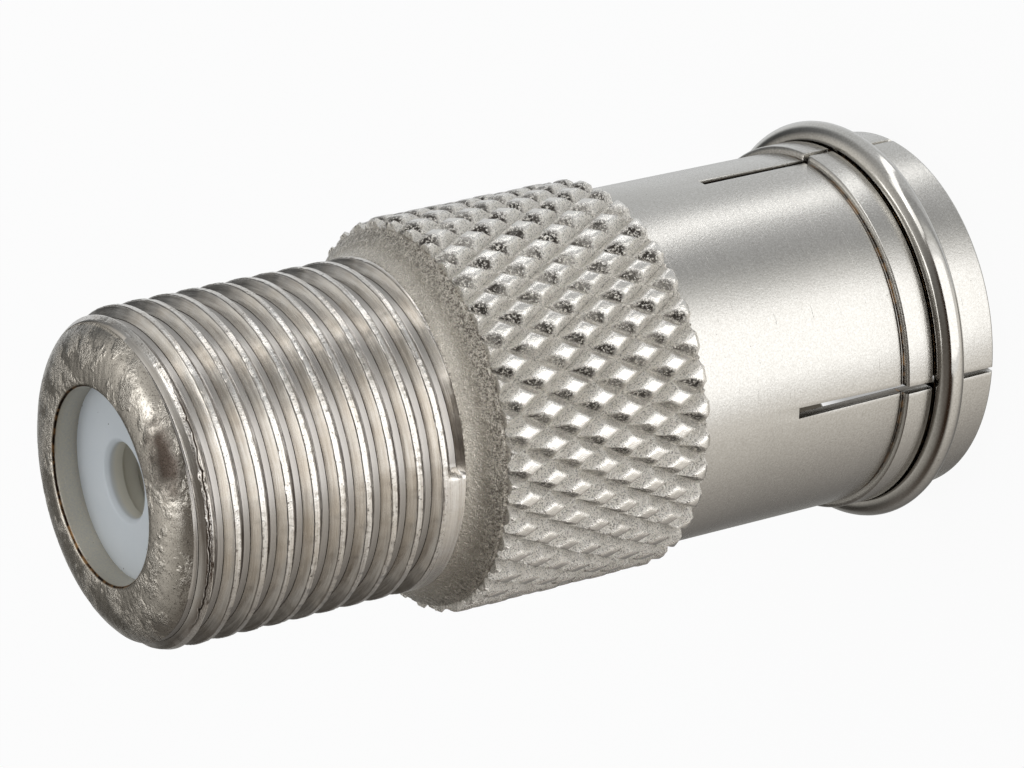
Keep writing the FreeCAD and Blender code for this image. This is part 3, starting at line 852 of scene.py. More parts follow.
def emptied(data):
    """The node tree of a material or world, with nothing in it yet."""
    data.use_nodes = True
    data.node_tree.nodes.clear()
    return data.node_tree


def grain(place, size_mm, detail=2.0, roughness=0.6):
    """What a noise node needs for features of about size_mm, in object coordinates in metres."""
    return {"Vector": place, "Scale": 1 / (size_mm * MM), "Detail": detail, "Roughness": roughness}


COLOUR_MIX = {"output": 2, "data_type": "RGBA"}
print("middle grey, #808080, is", round(linear("#808080")[0], 3), "in linear light")

# %% [markdown]
# ## Nickel over a cast skin
#
# Nickel is a faintly warm white metal, and a metal keeps the shader's default IOR. Over the cast skin of
# the nose and shoulder it is granular, which gives the eye a glitter of small bright grains: they are
# under a tenth of a millimetre wide, in coarse patches with smoother, burnished ones between them. Two
# noises make the grain, a large one makes the patches, and the lowest places are painted dark brown as
# shade in the pits. The tarnished patch is duller and coarser, and a thin crack runs beside it, painted
# as a dark line of shade.

# %% Cast nickel
NICKEL = "#D3CEC5"
SHOULDER_NICKEL = "#D6D0C5"
PIT_SHADE_BROWN = "#4A4038"
TARNISH = "#5C4639"
CRACK_WAVER = 0.16
CRACK_MIDDLE, CRACK_HALF, CRACK_CORE = CRACK_Z + CRACK_WAVER / 2, 0.035, 0.012


def crack_line(tree, place):
    """The crack beside the rounding: a thin wavering line at one height."""
    height = add(tree, "SeparateXYZ", (place,), output="Z")
    wander = add(tree, "TexNoise", grain(place, 0.5))
    waver = add(tree, "Math", (wander, CRACK_WAVER * MM, height), operation="MULTIPLY_ADD")
    above = add(tree, "Math", (waver, CRACK_MIDDLE * MM), operation="SUBTRACT")
    away = add(tree, "Math", (above,), operation="ABSOLUTE")
    line = add(tree, "MapRange", (away, CRACK_HALF * MM, CRACK_CORE * MM))
    marked = add(tree, "Attribute", output="Fac", attribute_name="crack")
    return add(tree, "Math", (line, marked), operation="MULTIPLY")


def plated(tree, colour, rough, height, height_mm):
    """Ends a metal's tree: colour, roughness and a relief of height_mm go into the shader."""
    bump = add(tree, "Bump", {"Height": height, "Distance": height_mm * MM})
    surface = add(tree, "BsdfPrincipled", {"Metallic": 1.0, "Base Color": colour, "Roughness": rough,
                                           "Normal": bump})
    add(tree, "OutputMaterial", {"Surface": surface})


def cast_nickel(name, metal, grain_mm, height_mm, burnished, matt, pitted, pit_level, calm, wild):
    """Nickel plate over a granular cast skin.

    Its roughness lies between burnished and matt, its painted pit shade is as dark as pitted says and
    reaches up to pit_level, and its relief is calm in the smooth patches and wild in the coarse ones.
    """
    made = bpy.data.materials.new(name)
    tree = emptied(made)
    place = add(tree, "TexCoord", output="Object")
    fine = add(tree, "TexNoise", grain(place, grain_mm, 3.0))
    coarse = add(tree, "TexNoise", grain(place, grain_mm * 3))
    patches = add(tree, "TexNoise", grain(place, 0.8, 3.0))
    patch = add(tree, "Attribute", output="Fac", attribute_name="patch")
    fewer_pit_shade = add(tree, "Attribute", output="Fac", attribute_name="fewer_pit_shade")
    coarse_patch = add(tree, "MapRange", (patches, 0.48, 0.60, calm, wild))
    amount = add(tree, "Math", (patch, 2.0, coarse_patch), operation="MULTIPLY_ADD")
    both = add(tree, "Math", (coarse, 0.5, fine), operation="MULTIPLY_ADD")
    # Painted shade: the lowest places of the grain are darkened as pits, and the crack as a dark line.
    low = add(tree, "MapRange", (both, pit_level, pit_level - 0.12, 0.0, pitted))
    # The shoulder's hollow beside the barrel gets less of the painted pit shade.
    pit_share = add(tree, "MapRange", (fewer_pit_shade, 0.0, 1.0, 1.0, 0.2))
    pit_shade = add(tree, "Math", (low, pit_share), operation="MULTIPLY")
    crack = crack_line(tree, place)
    dark = add(tree, "Math", (pit_shade, crack), operation="MAXIMUM")
    share = add(tree, "Math", (patch, 0.8), operation="MULTIPLY")
    stained = add(tree, "Mix", {0: share, 6: metal, 7: TARNISH}, **COLOUR_MIX)
    colour = add(tree, "Mix", {0: dark, 6: stained, 7: PIT_SHADE_BROWN}, **COLOUR_MIX)
    polish = add(tree, "MapRange", (coarse, 0.4, 0.6, matt, burnished))
    rough = add(tree, "Math", (patch, 0.15, polish), operation="MULTIPLY_ADD")
    grains = add(tree, "Math", (both, amount), operation="MULTIPLY")
    height = add(tree, "Math", (grains, crack), operation="SUBTRACT")
    plated(tree, colour, rough, height, height_mm)
    return made


FINISHES = {
    "cast": cast_nickel("nickel_on_cast_nose", NICKEL, 0.04, 0.020, 0.16, 0.28, 0.7, 0.70, 0.2, 1.5),
    "cast_shoulder": cast_nickel("nickel_on_cast_shoulder", SHOULDER_NICKEL, 0.045, 0.036, 0.24, 0.36,
                                 0.8, 0.78, 1.2, 1.6),
}
print("cast nickel: grains of about 0.08 mm, the crack at", round(CRACK_MIDDLE, 2), "mm up")

# %% [markdown]
# ## Lines along the thread
#
# A die leaves fine lines that follow the thread. A noise stretched round the axis would cut across the
# turns, so its place is taken from the helix: the angle within one pitch, as a point on a circle, doesn't
# jump anywhere, and a slow fourth coordinate makes each turn different. Real lines are finer than a
# pixel here, so they are drawn at 0.07 mm, as coarse as they need to be to show.

# %% Thread lines
THREAD_LINE_MM = 0.07
THREAD_LINE_LENGTH_MM = 2.4


def helix_lines(tree, place):
    """A noise drawn out along the thread."""
    x, y, z = add(tree, "SeparateXYZ", (place,)).node.outputs
    turn = add(tree, "Math", (y, x), operation="ARCTAN2")
    climbed = add(tree, "Math", (z, 2 * math.pi / (PITCH * MM)), operation="MULTIPLY")
    theta = add(tree, "Math", (climbed, turn), operation="SUBTRACT")
    spacing = PITCH / (2 * math.pi * THREAD_LINE_MM)
    across = [add(tree, "Math", (add(tree, "Math", (theta,), operation=wave), spacing),
                  operation="MULTIPLY") for wave in ("COSINE", "SINE")]
    slow = 1 / (THREAD_LINE_LENGTH_MM * MM)
    third = add(tree, "Math", (x, slow), operation="MULTIPLY")
    around = add(tree, "CombineXYZ", (*across, third))
    leaning = add(tree, "Math", (z, 1.7, y), operation="MULTIPLY_ADD")
    fourth = add(tree, "Math", (leaning, slow), operation="MULTIPLY")
    return add(tree, "TexNoise", {"Vector": around, "W": fourth, "Scale": 1.0, "Detail": 4.0,
                                  "Roughness": 0.7}, noise_dimensions="4D")


print("a thread line runs for", THREAD_LINE_LENGTH_MM, "mm, a twelfth of a turn")

# %% [markdown]
# ## Cut thread
#
# The die's lines give the thread its silky bands of light. Crests are nicked and worn bright. The root is
# painted a greyer nickel, as shade between the turns, and stays rougher where no nut has rubbed. Brown dirt
# and painted shade lie in a broken line along both edges of the steep side and in the root's deepest line.

# %% Thread nickel
WORN_NICKEL = ("#F2EFEA", "#EAE4DB")
ROOT_SHADE_NICKEL = "#A9A5A0"
LINE_SHADE = "#9A9084"
THREAD_DIRT_AND_SHADE = "#463A30"


def thread_nickel(name):
    """The cut thread: lines, worn crests, painted shade and dirt in the root and at the steep side."""
    made = bpy.data.materials.new(name)
    tree = emptied(made)
    place = add(tree, "TexCoord", output="Object")
    crest, shaded_and_dirty, root, patch, land = (add(tree, "Attribute", output="Fac", attribute_name=mark)
                                       for mark in ("crest", "dirt_and_shade", "root", "patch", "land"))
    lines = helix_lines(tree, place)
    fine = add(tree, "TexNoise", grain(place, 0.06, 3.0))
    blotch = add(tree, "TexNoise", grain(place, 0.9, 3.0))
    dents = add(tree, "MapRange", (fine, 0.60, 0.70))
    worn = add(tree, "Math", (crest, 0.06), operation="MAXIMUM")
    nicks = add(tree, "Math", (dents, worn), operation="MULTIPLY")
    broken = add(tree, "MapRange", (lines, 0.40, 0.62, 0.15, 0.95))
    # Painted shade with dirt: a broken dark line at both edges of the steep side and in the root's deepest
    # line.
    edged = add(tree, "MapRange", (shaded_and_dirty, 0.7, 1.0))
    packed = add(tree, "Math", (edged, broken), operation="MULTIPLY")
    dirt_and_shade = add(tree, "Math", (packed, crack_line(tree, place)), operation="MAXIMUM")

    blotches = add(tree, "MapRange", (blotch, 0.4, 0.7))
    colour = add(tree, "Mix", {0: blotches, 6: WORN_NICKEL[0], 7: WORN_NICKEL[1]}, **COLOUR_MIX)
    tarnish = add(tree, "Math", (patch, 0.75), operation="MULTIPLY")
    colour = add(tree, "Mix", {0: tarnish, 6: colour, 7: TARNISH}, **COLOUR_MIX)
    streaks = add(tree, "MapRange", (lines, 0.58, 0.36, 0.0, 0.45))
    colour = add(tree, "Mix", {0: streaks, 6: colour, 7: LINE_SHADE}, **COLOUR_MIX)
    # Painted shade: the root is greyer, as the recess between the turns.
    colour = add(tree, "Mix", {0: root, 6: colour, 7: ROOT_SHADE_NICKEL}, **COLOUR_MIX)
    dark = add(tree, "Math", (dirt_and_shade, nicks), operation="MAXIMUM")
    colour = add(tree, "Mix", {0: dark, 6: colour, 7: THREAD_DIRT_AND_SHADE}, **COLOUR_MIX)

    unrubbed = add(tree, "Math", (land, root), operation="MAXIMUM")
    silk = add(tree, "MapRange", (lines, 0.3, 0.7, 0.12, 0.28))
    rough = add(tree, "Math", (unrubbed, 0.1, silk), operation="MULTIPLY_ADD")
    rugged = add(tree, "Math", (land, 0.6, 0.06), operation="MULTIPLY_ADD")
    rugged = add(tree, "Math", (crest, 0.5, rugged), operation="MULTIPLY_ADD")
    rugged = add(tree, "Math", (patch, 2.5, rugged), operation="MULTIPLY_ADD")
    bumpy = add(tree, "Math", (fine, rugged), operation="MULTIPLY")
    lined = add(tree, "Math", (lines, 0.42, bumpy), operation="MULTIPLY_ADD")
    sunk = add(tree, "Math", (dirt_and_shade, 1.5), operation="MULTIPLY")
    plated(tree, colour, rough, add(tree, "Math", (lined, sunk), operation="SUBTRACT"), 0.015)
    return made


FINISHES["thread"] = thread_nickel("nickel_on_cut_thread")
print("thread nickel has", len(FINISHES["thread"].node_tree.nodes), "nodes")

# %% [markdown]
# ## Knurled grip
#
# The pressed diamonds are burnished on top, satin on three sides, and torn on the fourth, where pits
# painted dark as shade sit between bright grains. The marks on the mesh tell the sides apart, so they drive
# the bump, the roughness and the colour. The satin is drawn at about 0.08 mm, because its real grain is too
# fine to show.

# %% Knurl nickel
SATIN_NICKEL = ("#EDE9E1", "#F6F3ED")
BURNISHED_NICKEL = "#F0EDE7"
TORN_PIT_SHADE = "#241E19"


def knurl_nickel(name):
    """Nickel on the pressed diamonds: burnished tops, satin sides, one torn side."""
    made = bpy.data.materials.new(name)
    tree = emptied(made)
    place = add(tree, "TexCoord", output="Object")
    torn, top, groove = (add(tree, "Attribute", output="Fac", attribute_name=mark)
                         for mark in ("torn", "top", "groove"))
    coarse = add(tree, "TexNoise", grain(place, 0.075))
    fine = add(tree, "TexNoise", grain(place, 0.04))
    # Painted shade: the pits of the torn side are darkened.
    deep = add(tree, "MapRange", (coarse, 0.64, 0.49, 0.0, 0.95))
    pit_shade = add(tree, "Math", (deep, torn), operation="MULTIPLY")
    specks = add(tree, "MapRange", (fine, 0.50, 0.37, 0.0, 0.6))
    rubbed_off = add(tree, "Math", (specks, top), operation="MULTIPLY")
    kept = add(tree, "Math", (rubbed_off, -1.0, specks), operation="MULTIPLY_ADD")
    dark = add(tree, "Math", (pit_shade, kept), operation="MAXIMUM")

    clouds = add(tree, "MapRange", (add(tree, "TexNoise", grain(place, 0.25)), 0.35, 0.65))
    satin = add(tree, "Mix", {0: clouds, 6: SATIN_NICKEL[0], 7: SATIN_NICKEL[1]}, **COLOUR_MIX)
    rubbed = add(tree, "Math", (top, groove), operation="MAXIMUM")
    metal = add(tree, "Mix", {0: rubbed, 6: satin, 7: BURNISHED_NICKEL}, **COLOUR_MIX)
    colour = add(tree, "Mix", {0: dark, 6: metal, 7: TORN_PIT_SHADE}, **COLOUR_MIX)

    satin_rough = add(tree, "MapRange", (fine, 0.3, 0.7, 0.30, 0.42))
    torn_gloss = add(tree, "Math", (torn, 0.6), operation="MULTIPLY")
    glossy = add(tree, "Math", (top, torn_gloss), operation="MAXIMUM")
    gloss = add(tree, "Math", (glossy, 0.2), operation="MULTIPLY")
    rough = add(tree, "Math", (satin_rough, gloss), operation="SUBTRACT")
    torn_relief = add(tree, "Math", (torn, 0.9, 0.05), operation="MULTIPLY_ADD")
    rugged = add(tree, "Math", (coarse, torn_relief), operation="MULTIPLY")
    fine_relief = add(tree, "Math", (top, -0.9, 1.15), operation="MULTIPLY_ADD")
    gritty = add(tree, "Math", (fine, fine_relief), operation="MULTIPLY")
    plated(tree, colour, rough, add(tree, "Math", (rugged, gritty), operation="ADD"), 0.04)
    return made


FINISHES["knurl"] = knurl_nickel("nickel_on_knurl")
print("knurl nickel has", len(FINISHES["knurl"].node_tree.nodes), "nodes")

# %% [markdown]
# ## Satin turned sleeve
#
# The sleeve was turned fine and plated, and the plating is slightly pebbled: a sparkle of grains of a few
# hundredths of a millimetre, faint lines round the axis, and a few long scratches from handling. The
# corners beside the band get dark lines of painted shade and dirt, with a warm tarnished edge. Inside, the
# sleeve is painted darker, as shade within the tube.

# %% Lines, and dirt with painted shade, round the axis
SLEEVE_NICKEL = "#DDDBD6"
PEBBLE_SHADE = "#C2BFB9"
BRIGHT_SCRATCH = "#EDEBE6"
SPECK_BROWN = "#5F574E"
CORNER_BROWN = "#2A1D14"
WORN_BRASS = "#8C6C48"
INSIDE_SHADE = "#6E675C"


def turned_lines(tree, place, line_mm, length_mm):
    """A noise drawn out round the axis: line_mm wide along Z, length_mm long round it."""
    stretch = add(tree, "Mapping", {"Vector": place, "Scale": (
        1 / (length_mm * MM), 1 / (length_mm * MM), 1 / (line_mm * MM))})
    return add(tree, "TexNoise", {"Vector": stretch, "Scale": 1.0, "Detail": 4.0, "Roughness": 0.6})


def corner_dirt_and_shade(tree, place, levels, half_width):
    """Dark lines of painted shade and dirt round the axis at the given heights, wavering by hundredths of a
    mm.
    """
    height = add(tree, "SeparateXYZ", (place,), output="Z")
    wander = add(tree, "TexNoise", grain(place, 0.6))
    waver = add(tree, "Math", (wander, 0.03 * MM, height), operation="MULTIPLY_ADD")
    total = None
    for level in levels:
        above = add(tree, "Math", (waver, (level + 0.015) * MM), operation="SUBTRACT")
        away = add(tree, "Math", (above,), operation="ABSOLUTE")
        line = add(tree, "MapRange", (away, half_width * MM, half_width * 0.4 * MM))
        total = line if total is None else add(tree, "Math", (total, line), operation="MAXIMUM")
    return total


# The corner lines are painted shade with dirt in it.
print("turned lines and corner dirt are ready for the sleeve, ring, pin and bore")

# %% [markdown]
# One recipe serves all the fine turned and drawn metal, because only its line width, relief and gloss
# differ from the sleeve to the wire and the pin.

# %% Sleeve nickel
def satin_nickel(name, line_mm, height_mm, smooth, matt, pebble=1.0, shaded_and_dirty=(), metal=SLEEVE_NICKEL,
                 shade_inside_r=0):
    """Fine turned nickel with lines round the axis, a pebbled sparkle and a few scratches.

    Corners at the given heights get dark lines of painted shade and dirt, and what lies within the given
    radius of the axis is painted darker, as shade.
    """
    made = bpy.data.materials.new(name)
    tree = emptied(made)
    place = add(tree, "TexCoord", output="Object")
    lines = turned_lines(tree, place, line_mm, 3.0)
    pebbles = add(tree, "TexNoise", grain(place, 0.055, 3.0, 0.7))
    scratch = add(tree, "MapRange", (turned_lines(tree, place, 0.025, 1.6), 0.70, 0.76))
    speck = add(tree, "MapRange", (add(tree, "TexNoise", grain(place, 0.11, 1.0)), 0.76, 0.82))
    shade = add(tree, "MapRange", (pebbles, 0.3, 0.7))
    tint = add(tree, "Mix", {0: shade, 6: PEBBLE_SHADE, 7: metal}, **COLOUR_MIX)
    tint = add(tree, "Mix", {0: scratch, 6: tint, 7: BRIGHT_SCRATCH}, **COLOUR_MIX)
    faint = add(tree, "Math", (speck, 0.6), operation="MULTIPLY")
    tint = add(tree, "Mix", {0: faint, 6: tint, 7: SPECK_BROWN}, **COLOUR_MIX)
    lined = add(tree, "Math", (lines, 0.45), operation="MULTIPLY")
    scored = add(tree, "Math", (scratch, -1.0, lined), operation="MULTIPLY_ADD")
    height = add(tree, "Math", (pebbles, pebble, scored), operation="MULTIPLY_ADD")
    # Painted shade: the inside of the tube is darkened.
    if shade_inside_r:
        x, y, z = add(tree, "SeparateXYZ", (place,)).node.outputs
        squared = add(tree, "Math", (y, y), operation="MULTIPLY")
        squared = add(tree, "Math", (x, x, squared), operation="MULTIPLY_ADD")
        radius = add(tree, "Math", (squared,), operation="SQRT")
        inside = add(tree, "MapRange", (radius, (shade_inside_r + 0.1) * MM, shade_inside_r * MM))
        tint = add(tree, "Mix", {0: inside, 6: tint, 7: INSIDE_SHADE}, **COLOUR_MIX)
    # Painted shade and dirt: dark lines with a warm edge in the corners.
    if shaded_and_dirty:
        rubbed = add(tree, "MapRange", (add(tree, "TexNoise", grain(place, 0.25)), 0.46, 0.60))
        worn = add(tree, "Mix", {0: rubbed, 6: CORNER_BROWN, 7: WORN_BRASS}, **COLOUR_MIX)
        corners = corner_dirt_and_shade(tree, place, shaded_and_dirty, 0.045)
        tint = add(tree, "Mix", {0: corners, 6: tint, 7: worn}, **COLOUR_MIX)
    rough = add(tree, "MapRange", (lines, 0.3, 0.7, smooth, matt))
    plated(tree, tint, rough, height, height_mm)
    return made


# A dark line of painted shade and dirt just inside the bore's rim.
FINISHES["bore"] = satin_nickel("nickel_in_the_bore", 0.10, 0.002, 0.40, 0.50, pebble=0.5,
                                shaded_and_dirty=(NOSE_Z - 0.05,), metal="#D4CDBC")
for finish in BODY_FINISHES:
    body.data.materials.append(FINISHES[finish])
sleeve.data.materials.append(satin_nickel(
    "satin_turned_nickel", 0.05, 0.0050, 0.20, 0.28, shade_inside_r=RING_GROOVE_R + 0.04,
    shaded_and_dirty=(STEP_Z - 0.02, GROOVE_HIGH_Z - 0.03)))
ring.data.materials.append(satin_nickel("polished_spring_wire", 0.12, 0.0008, 0.10, 0.16, pebble=0.5))
pin.data.materials.append(satin_nickel("plated_pin", 0.04, 0.002, 0.2, 0.3))
print("metals:", ", ".join(sorted(m.name for m in bpy.data.materials)))

# %% [markdown]
# ## Moulded white plastic
#
# The insulator is moulded polyethylene, with an IOR of 1.51: matt, milky, and faintly blue in this light,
# with a few dark specks of swarf stuck to it. Down its hole it is a lighter cream, as painted light there.

# %% White polyethylene
MILKY_WHITE = ("#CCD3D7", "#D5DADD")
HOLE_PAINTED_LIGHT_CREAM = "#E4E1D4"
SWARF = "#4A463F"


def white_polyethylene(name):
    """Milky moulded plastic with tiny specks, painted a lighter cream down the shaded hole as painted
    light.
    """
    made = bpy.data.materials.new(name)
    tree = emptied(made)
    place = add(tree, "TexCoord", output="Object")
    cells = add(tree, "TexVoronoi", {"Vector": place, "Scale": 1 / (0.55 * MM)}, output="Distance")
    specks = add(tree, "MapRange", (cells, 0.045, 0.03))
    clouds = add(tree, "TexNoise", grain(place, 0.8, 3.0))
    milky = add(tree, "Mix", {0: clouds, 6: MILKY_WHITE[0], 7: MILKY_WHITE[1]}, **COLOUR_MIX)
    # Painted light: the wall down the hole is a lighter cream than the face, against the shade there.
    height = add(tree, "SeparateXYZ", (place,), output="Z")
    down_hole_painted_light = add(tree, "MapRange", (height, (SEAT_Z - 0.12) * MM, (SEAT_Z - 0.3) * MM))
    milky = add(tree, "Mix", {0: down_hole_painted_light, 6: milky, 7: HOLE_PAINTED_LIGHT_CREAM}, **COLOUR_MIX)
    colour = add(tree, "Mix", {0: specks, 6: milky, 7: SWARF}, **COLOUR_MIX)
    bump = add(tree, "Bump", {"Height": add(tree, "TexNoise", grain(place, 0.12)), "Distance": 0.004 * MM})
    surface = add(tree, "BsdfPrincipled", {"Roughness": 0.42, "IOR": 1.51, "Base Color": colour,
                                           "Normal": bump})
    add(tree, "OutputMaterial", {"Surface": surface})
    return made


plastic = white_polyethylene("white_polyethylene")
front.data.materials.append(plastic)
for node, finish in (("rear_insulator", plastic),
                     ("socket_contact", satin_nickel("plated_contact", 0.05, 0.002, 0.28, 0.4))):
    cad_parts[node].data.materials.clear()
    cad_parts[node].data.materials.append(finish)
    print(node, "keeps its CAD mesh and is finished in", finish.name)

# %% [markdown]
# ## The floor
#
# A plain white sheet that the adapter stands on. The camera sees it as nearly pure white with a faint
# shadow. Inside the sleeve's mouth its white glow is cut down as painted shade, so it shows darker there.
# The bright metal is spared its reflection: the photograph shows the adapter lying down, with nothing near
# its lip, and every side of an upright adapter would show the floor.

# %% Floor
FLOOR_HALF_SIZE = 0.6
FLOOR_WHITE = 0.93
MOUTH_SHADE_WHITE = 0.45


def seen_white(tree, share):
    """The share of plain white for what the eye, gloss and glass look at."""
    path = add(tree, "LightPath").node.outputs
    mirrored = add(tree, "Math", (path["Is Glossy Ray"], path["Is Transmission Ray"]),
                   operation="MAXIMUM")
    eye = add(tree, "Math", (path["Is Camera Ray"], mirrored), operation="MAXIMUM")
    return add(tree, "Math", (eye, share), operation="MULTIPLY")


def white_paper():
    """Matt white paper that shows as white, with a share of its shadow, and painted shade under the mouth.
    """
    made = bpy.data.materials.new("white_paper")
    tree = emptied(made)
    place = add(tree, "TexCoord", output="Object")
    away = add(tree, "VectorMath", (place,), output="Value", operation="LENGTH")
    # Painted shade: the white glow is cut down inside the sleeve's mouth.
    inside = add(tree, "MapRange", (away, SLEEVE_R * MM, 0.8 * MOUTH_R * MM))
    mouth_shade = add(tree, "MapRange", (inside, 0, 1, 1, MOUTH_SHADE_WHITE))
    share = add(tree, "Math", (seen_white(tree, FLOOR_WHITE), mouth_shade), operation="MULTIPLY")
    matt = add(tree, "BsdfDiffuse", {"Color": "#F4F4F4"})
    white = add(tree, "Emission", {"Color": "#FFFFFF", "Strength": 1.0})
    add(tree, "OutputMaterial", {"Surface": add(tree, "MixShader", (share, matt, white))})
    return made


def floor_sheet():
    """A plain white floor that keeps a soft shadow."""
    size = FLOOR_HALF_SIZE
    data = bpy.data.meshes.new("floor")
    data.from_pydata([(-size, -size, 0), (size, -size, 0), (size, size, 0), (-size, size, 0)], [],
                     [(0, 1, 2, 3)])
    data.materials.append(white_paper())
    made = bpy.data.objects.new("floor", data)
    made.visible_glossy = False
    made.visible_shadow = False
    bpy.context.scene.collection.objects.link(made)
    return made


floor_sheet()
print("floor", 2 * FLOOR_HALF_SIZE, "m wide, shown as", FLOOR_WHITE, "of white")

# %% [markdown]
# ## The studio
#
# Bright metal shows its surroundings more than its own colour, so the studio is built round the adapter.
# A wrap of grey card closes it in, painted from light to dark, as a photographer does for metal. It is
# open to the front, where the white background and a big soft box show. A narrow strip lamp above, a
# small box over the jack, and a panel beyond the jack lie inside the wrap. In the photograph the adapter
# lies down, so "up" is +X here, and angles round it count from the front, -Y, over the top.

# %% Lamps
UP = Vector((1, 0, 0))
FRONT = Vector((0, -1, 0))
JACKWARD = Vector((0, 0, 1))
MIDDLE = Vector((0, 0, 13))


def soft_box(name, toward, distance, size, brightness, long_axis=JACKWARD, slide=0):
    """A square lamp: size is (across, along the long axis) in mm, and slide moves it along that axis."""
    data = bpy.data.lights.new(name, "AREA")
    data.shape = "RECTANGLE"
    data.size = size[0] * MM
    data.size_y = size[1] * MM
    data.energy = brightness * math.pi * data.size * data.size_y
    made = bpy.data.objects.new(name, data)
    back = toward.normalized()
    along = (long_axis - back * long_axis.dot(back)).normalized()
    turn = Matrix((along.cross(back), along, back)).transposed().to_4x4()
    place = MIDDLE + back * distance + along * slide
    made.matrix_world = Matrix.Translation(place * MM) @ turn
    made.visible_camera = False
    bpy.context.scene.collection.objects.link(made)
    print(name, "gives", round(data.energy, 3), "W")
    return made


def round_from_front(degrees):
    """A direction square to the axis: 0 is to the front, 90 up, 180 to the back."""
    a = math.radians(degrees)
    return FRONT * math.cos(a) + UP * math.sin(a)


soft_box("front_soft_box", round_from_front(20), 260, (270, 430), 0.65, slide=-150)
soft_box("top_strip", round_from_front(93), 260, (56, 580), 1.25, slide=-110,
         long_axis=JACKWARD + 0.49 * FRONT)
soft_box("over_the_jack", 0.95 * round_from_front(78) + 0.32 * JACKWARD, 270, (170, 110), 1.0)
soft_box("jack_panel", Vector((0.0, 0.23, 0.97)), 260, (120, 190), 1.5, long_axis=FRONT)

# %% [markdown]
# ## The card's paint
#
# The paint depends on the angle round the adapter, with three scales: what lies level with it or beyond
# its lip, a darker one past the jack's end, and a lighter one in line with the axis. The card glows by
# itself, so that no lamp has to light it.

# %% Painted card
WRAP_R = 450
LOW_CARD = ((-180, "#E2E4E6"), (-150, "#A8A8A6"), (-117, "#706E6C"), (-97, "#898683"),
            (-67, "#AFABA6"), (-47, "#D0CCC6"), (-30, "#E2DED8"), (-15, "#FDF9F3"), (60, "#DEDEDC"),
            (70, "#A8A9AA"), (83, "#A8A9AA"), (93, "#CACBCD"), (140, "#D0D2D4"), (178, "#E2E4E6"))
HIGH_CARD = ((-180, "#4E4F50"), (-155, "#5A5854"), (-130, "#3F3D3A"), (-105, "#6A6662"),
             (-80, "#57504A"), (-45, "#35281F"), (35, "#35281F"), (55, "#8A8784"), (77, "#C3C3C2"),
             (115, "#A8A8A7"), (147, "#7E7F80"), (178, "#4E4F50"))
CAP_CARD = ((-180, "#E0DDD8"), (-150, "#E0DDD8"), (-120, "#ABA8A3"), (-85, "#94918C"),
            (-50, "#6E6964"), (0, "#66625D"), (45, "#7A7875"), (90, "#ABA9A6"), (147, "#D8D6D2"),
            (178, "#E0DDD8"))
HIGH_FROM, HIGH_TO = -0.15, 0.22
CAP_FROM, CAP_TO = 0.38, 0.76


def card_scale(tree, share, stops):
    """A colour ramp round the adapter from (degrees, hex colour) pairs."""
    painted = add(tree, "ValToRGB", (share,))
    marks = painted.node.color_ramp.elements
    while len(marks) < len(stops):
        marks.new(0.5)
    for mark, (degrees, colour) in zip(marks, stops):
        mark.position = (degrees + 180) / 360
        mark.color = linear(colour)
    return painted


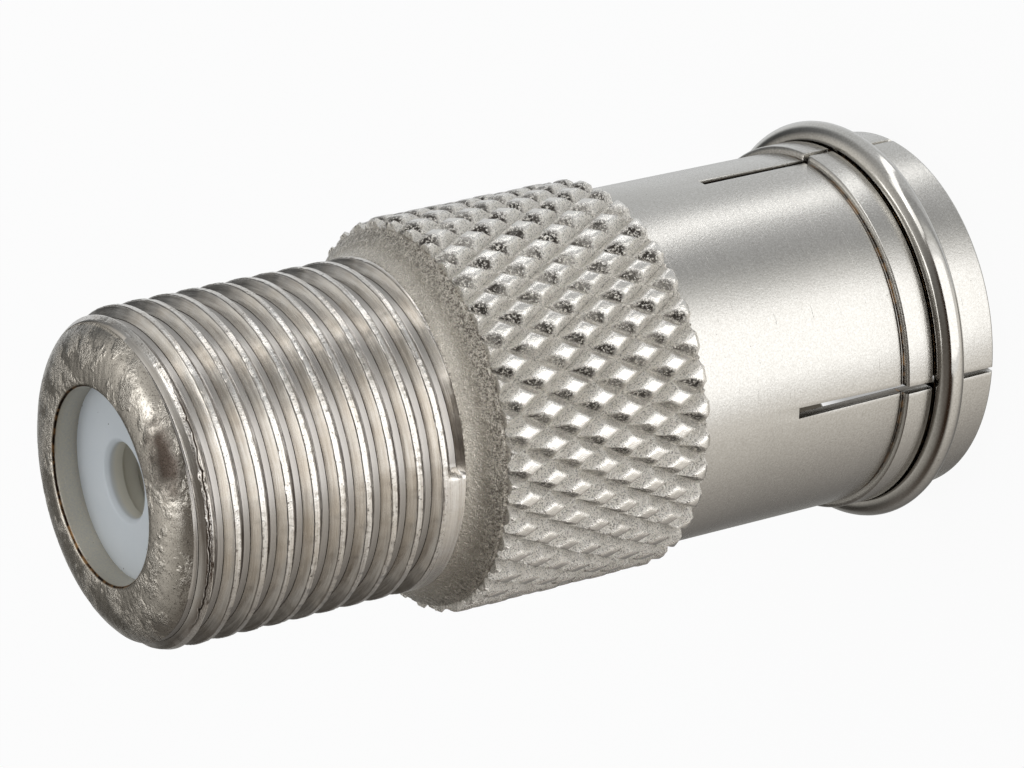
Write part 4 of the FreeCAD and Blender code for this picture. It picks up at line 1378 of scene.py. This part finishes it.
def grey_card():
    """The wrap's paint."""
    made = bpy.data.materials.new("painted_card")
    made.cycles.emission_sampling = "NONE"
    tree = emptied(made)
    x, y, z = add(tree, "SeparateXYZ", (add(tree, "TexCoord", output="Object"),)).node.outputs
    toward_front = add(tree, "Math", (y, -1.0), operation="MULTIPLY")
    round_it = add(tree, "Math", (x, toward_front), operation="ARCTAN2")
    share = add(tree, "MapRange", (round_it, -math.pi, math.pi))
    beyond, overhead = (add(tree, "MapRange", (z, low * WRAP_R * MM, high * WRAP_R * MM),
                            interpolation_type="SMOOTHSTEP")
                        for low, high in ((HIGH_FROM, HIGH_TO), (CAP_FROM, CAP_TO)))
    colour = add(tree, "Mix", {0: beyond, 6: card_scale(tree, share, LOW_CARD),
                               7: card_scale(tree, share, HIGH_CARD)}, **COLOUR_MIX)
    colour = add(tree, "Mix", {0: overhead, 6: colour, 7: card_scale(tree, share, CAP_CARD)},
                 **COLOUR_MIX)
    glow = add(tree, "Emission", {"Color": colour, "Strength": 1.0})
    add(tree, "OutputMaterial", {"Surface": glow})
    return made


print("card painted with", len(LOW_CARD + HIGH_CARD + CAP_CARD), "tones")

# %% [markdown]
# ## The wrap
#
# The card is a ball round the adapter, with its front cut open. The metal alone sees it: it is hidden
# from the camera and from the light that falls on matt surfaces.

# %% Wrap
OPEN_FROM_DEG, OPEN_TO_DEG = -14, 58
OPEN_FROM_LOW, OPEN_TO_HIGH = -0.85, 0.24


def card_wrap():
    """A ball of card round the adapter with its front cut open."""
    work = bmesh.new()
    bmesh.ops.create_uvsphere(work, u_segments=96, v_segments=48, radius=WRAP_R * MM)
    opened = []
    for face in work.faces:
        middle = face.calc_center_median() / (WRAP_R * MM)
        degrees = math.degrees(math.atan2(middle.x, -middle.y))
        if OPEN_FROM_DEG < degrees < OPEN_TO_DEG and OPEN_FROM_LOW < middle.z < OPEN_TO_HIGH:
            opened.append(face)
    print("wrap opened by", len(opened), "faces")
    bmesh.ops.delete(work, geom=opened, context="FACES")
    data = bpy.data.meshes.new("card_wrap")
    work.to_mesh(data)
    work.free()
    data.materials.append(grey_card())
    made = bpy.data.objects.new("card_wrap", data)
    made.location = MIDDLE * MM
    for ray in ("camera", "diffuse", "transmission", "volume_scatter", "shadow"):
        setattr(made, "visible_" + ray, False)
    bpy.context.scene.collection.objects.link(made)
    return made


card_wrap()

# %% [markdown]
# ## The room
#
# The world is plain white for everything that is looked at, and a dimmer room that lights matt surfaces.

# %% World
ROOM_STRENGTH = 0.55


def studio_world():
    """Plain white behind everything that is looked at, and a dimmer room that lights matt surfaces."""
    world = bpy.data.worlds.new("studio")
    bpy.context.scene.world = world
    tree = emptied(world)
    room = add(tree, "Background", {"Color": "#F2F4F7", "Strength": ROOM_STRENGTH})
    white = add(tree, "Background", {"Color": "#FFFFFF", "Strength": 1.0})
    add(tree, "OutputWorld", {"Surface": add(tree, "MixShader", (seen_white(tree, 1.0), room, white))})


studio_world()
bpy.context.scene.view_settings.view_transform = "Standard"
print("room light:", ROOM_STRENGTH, "of white")
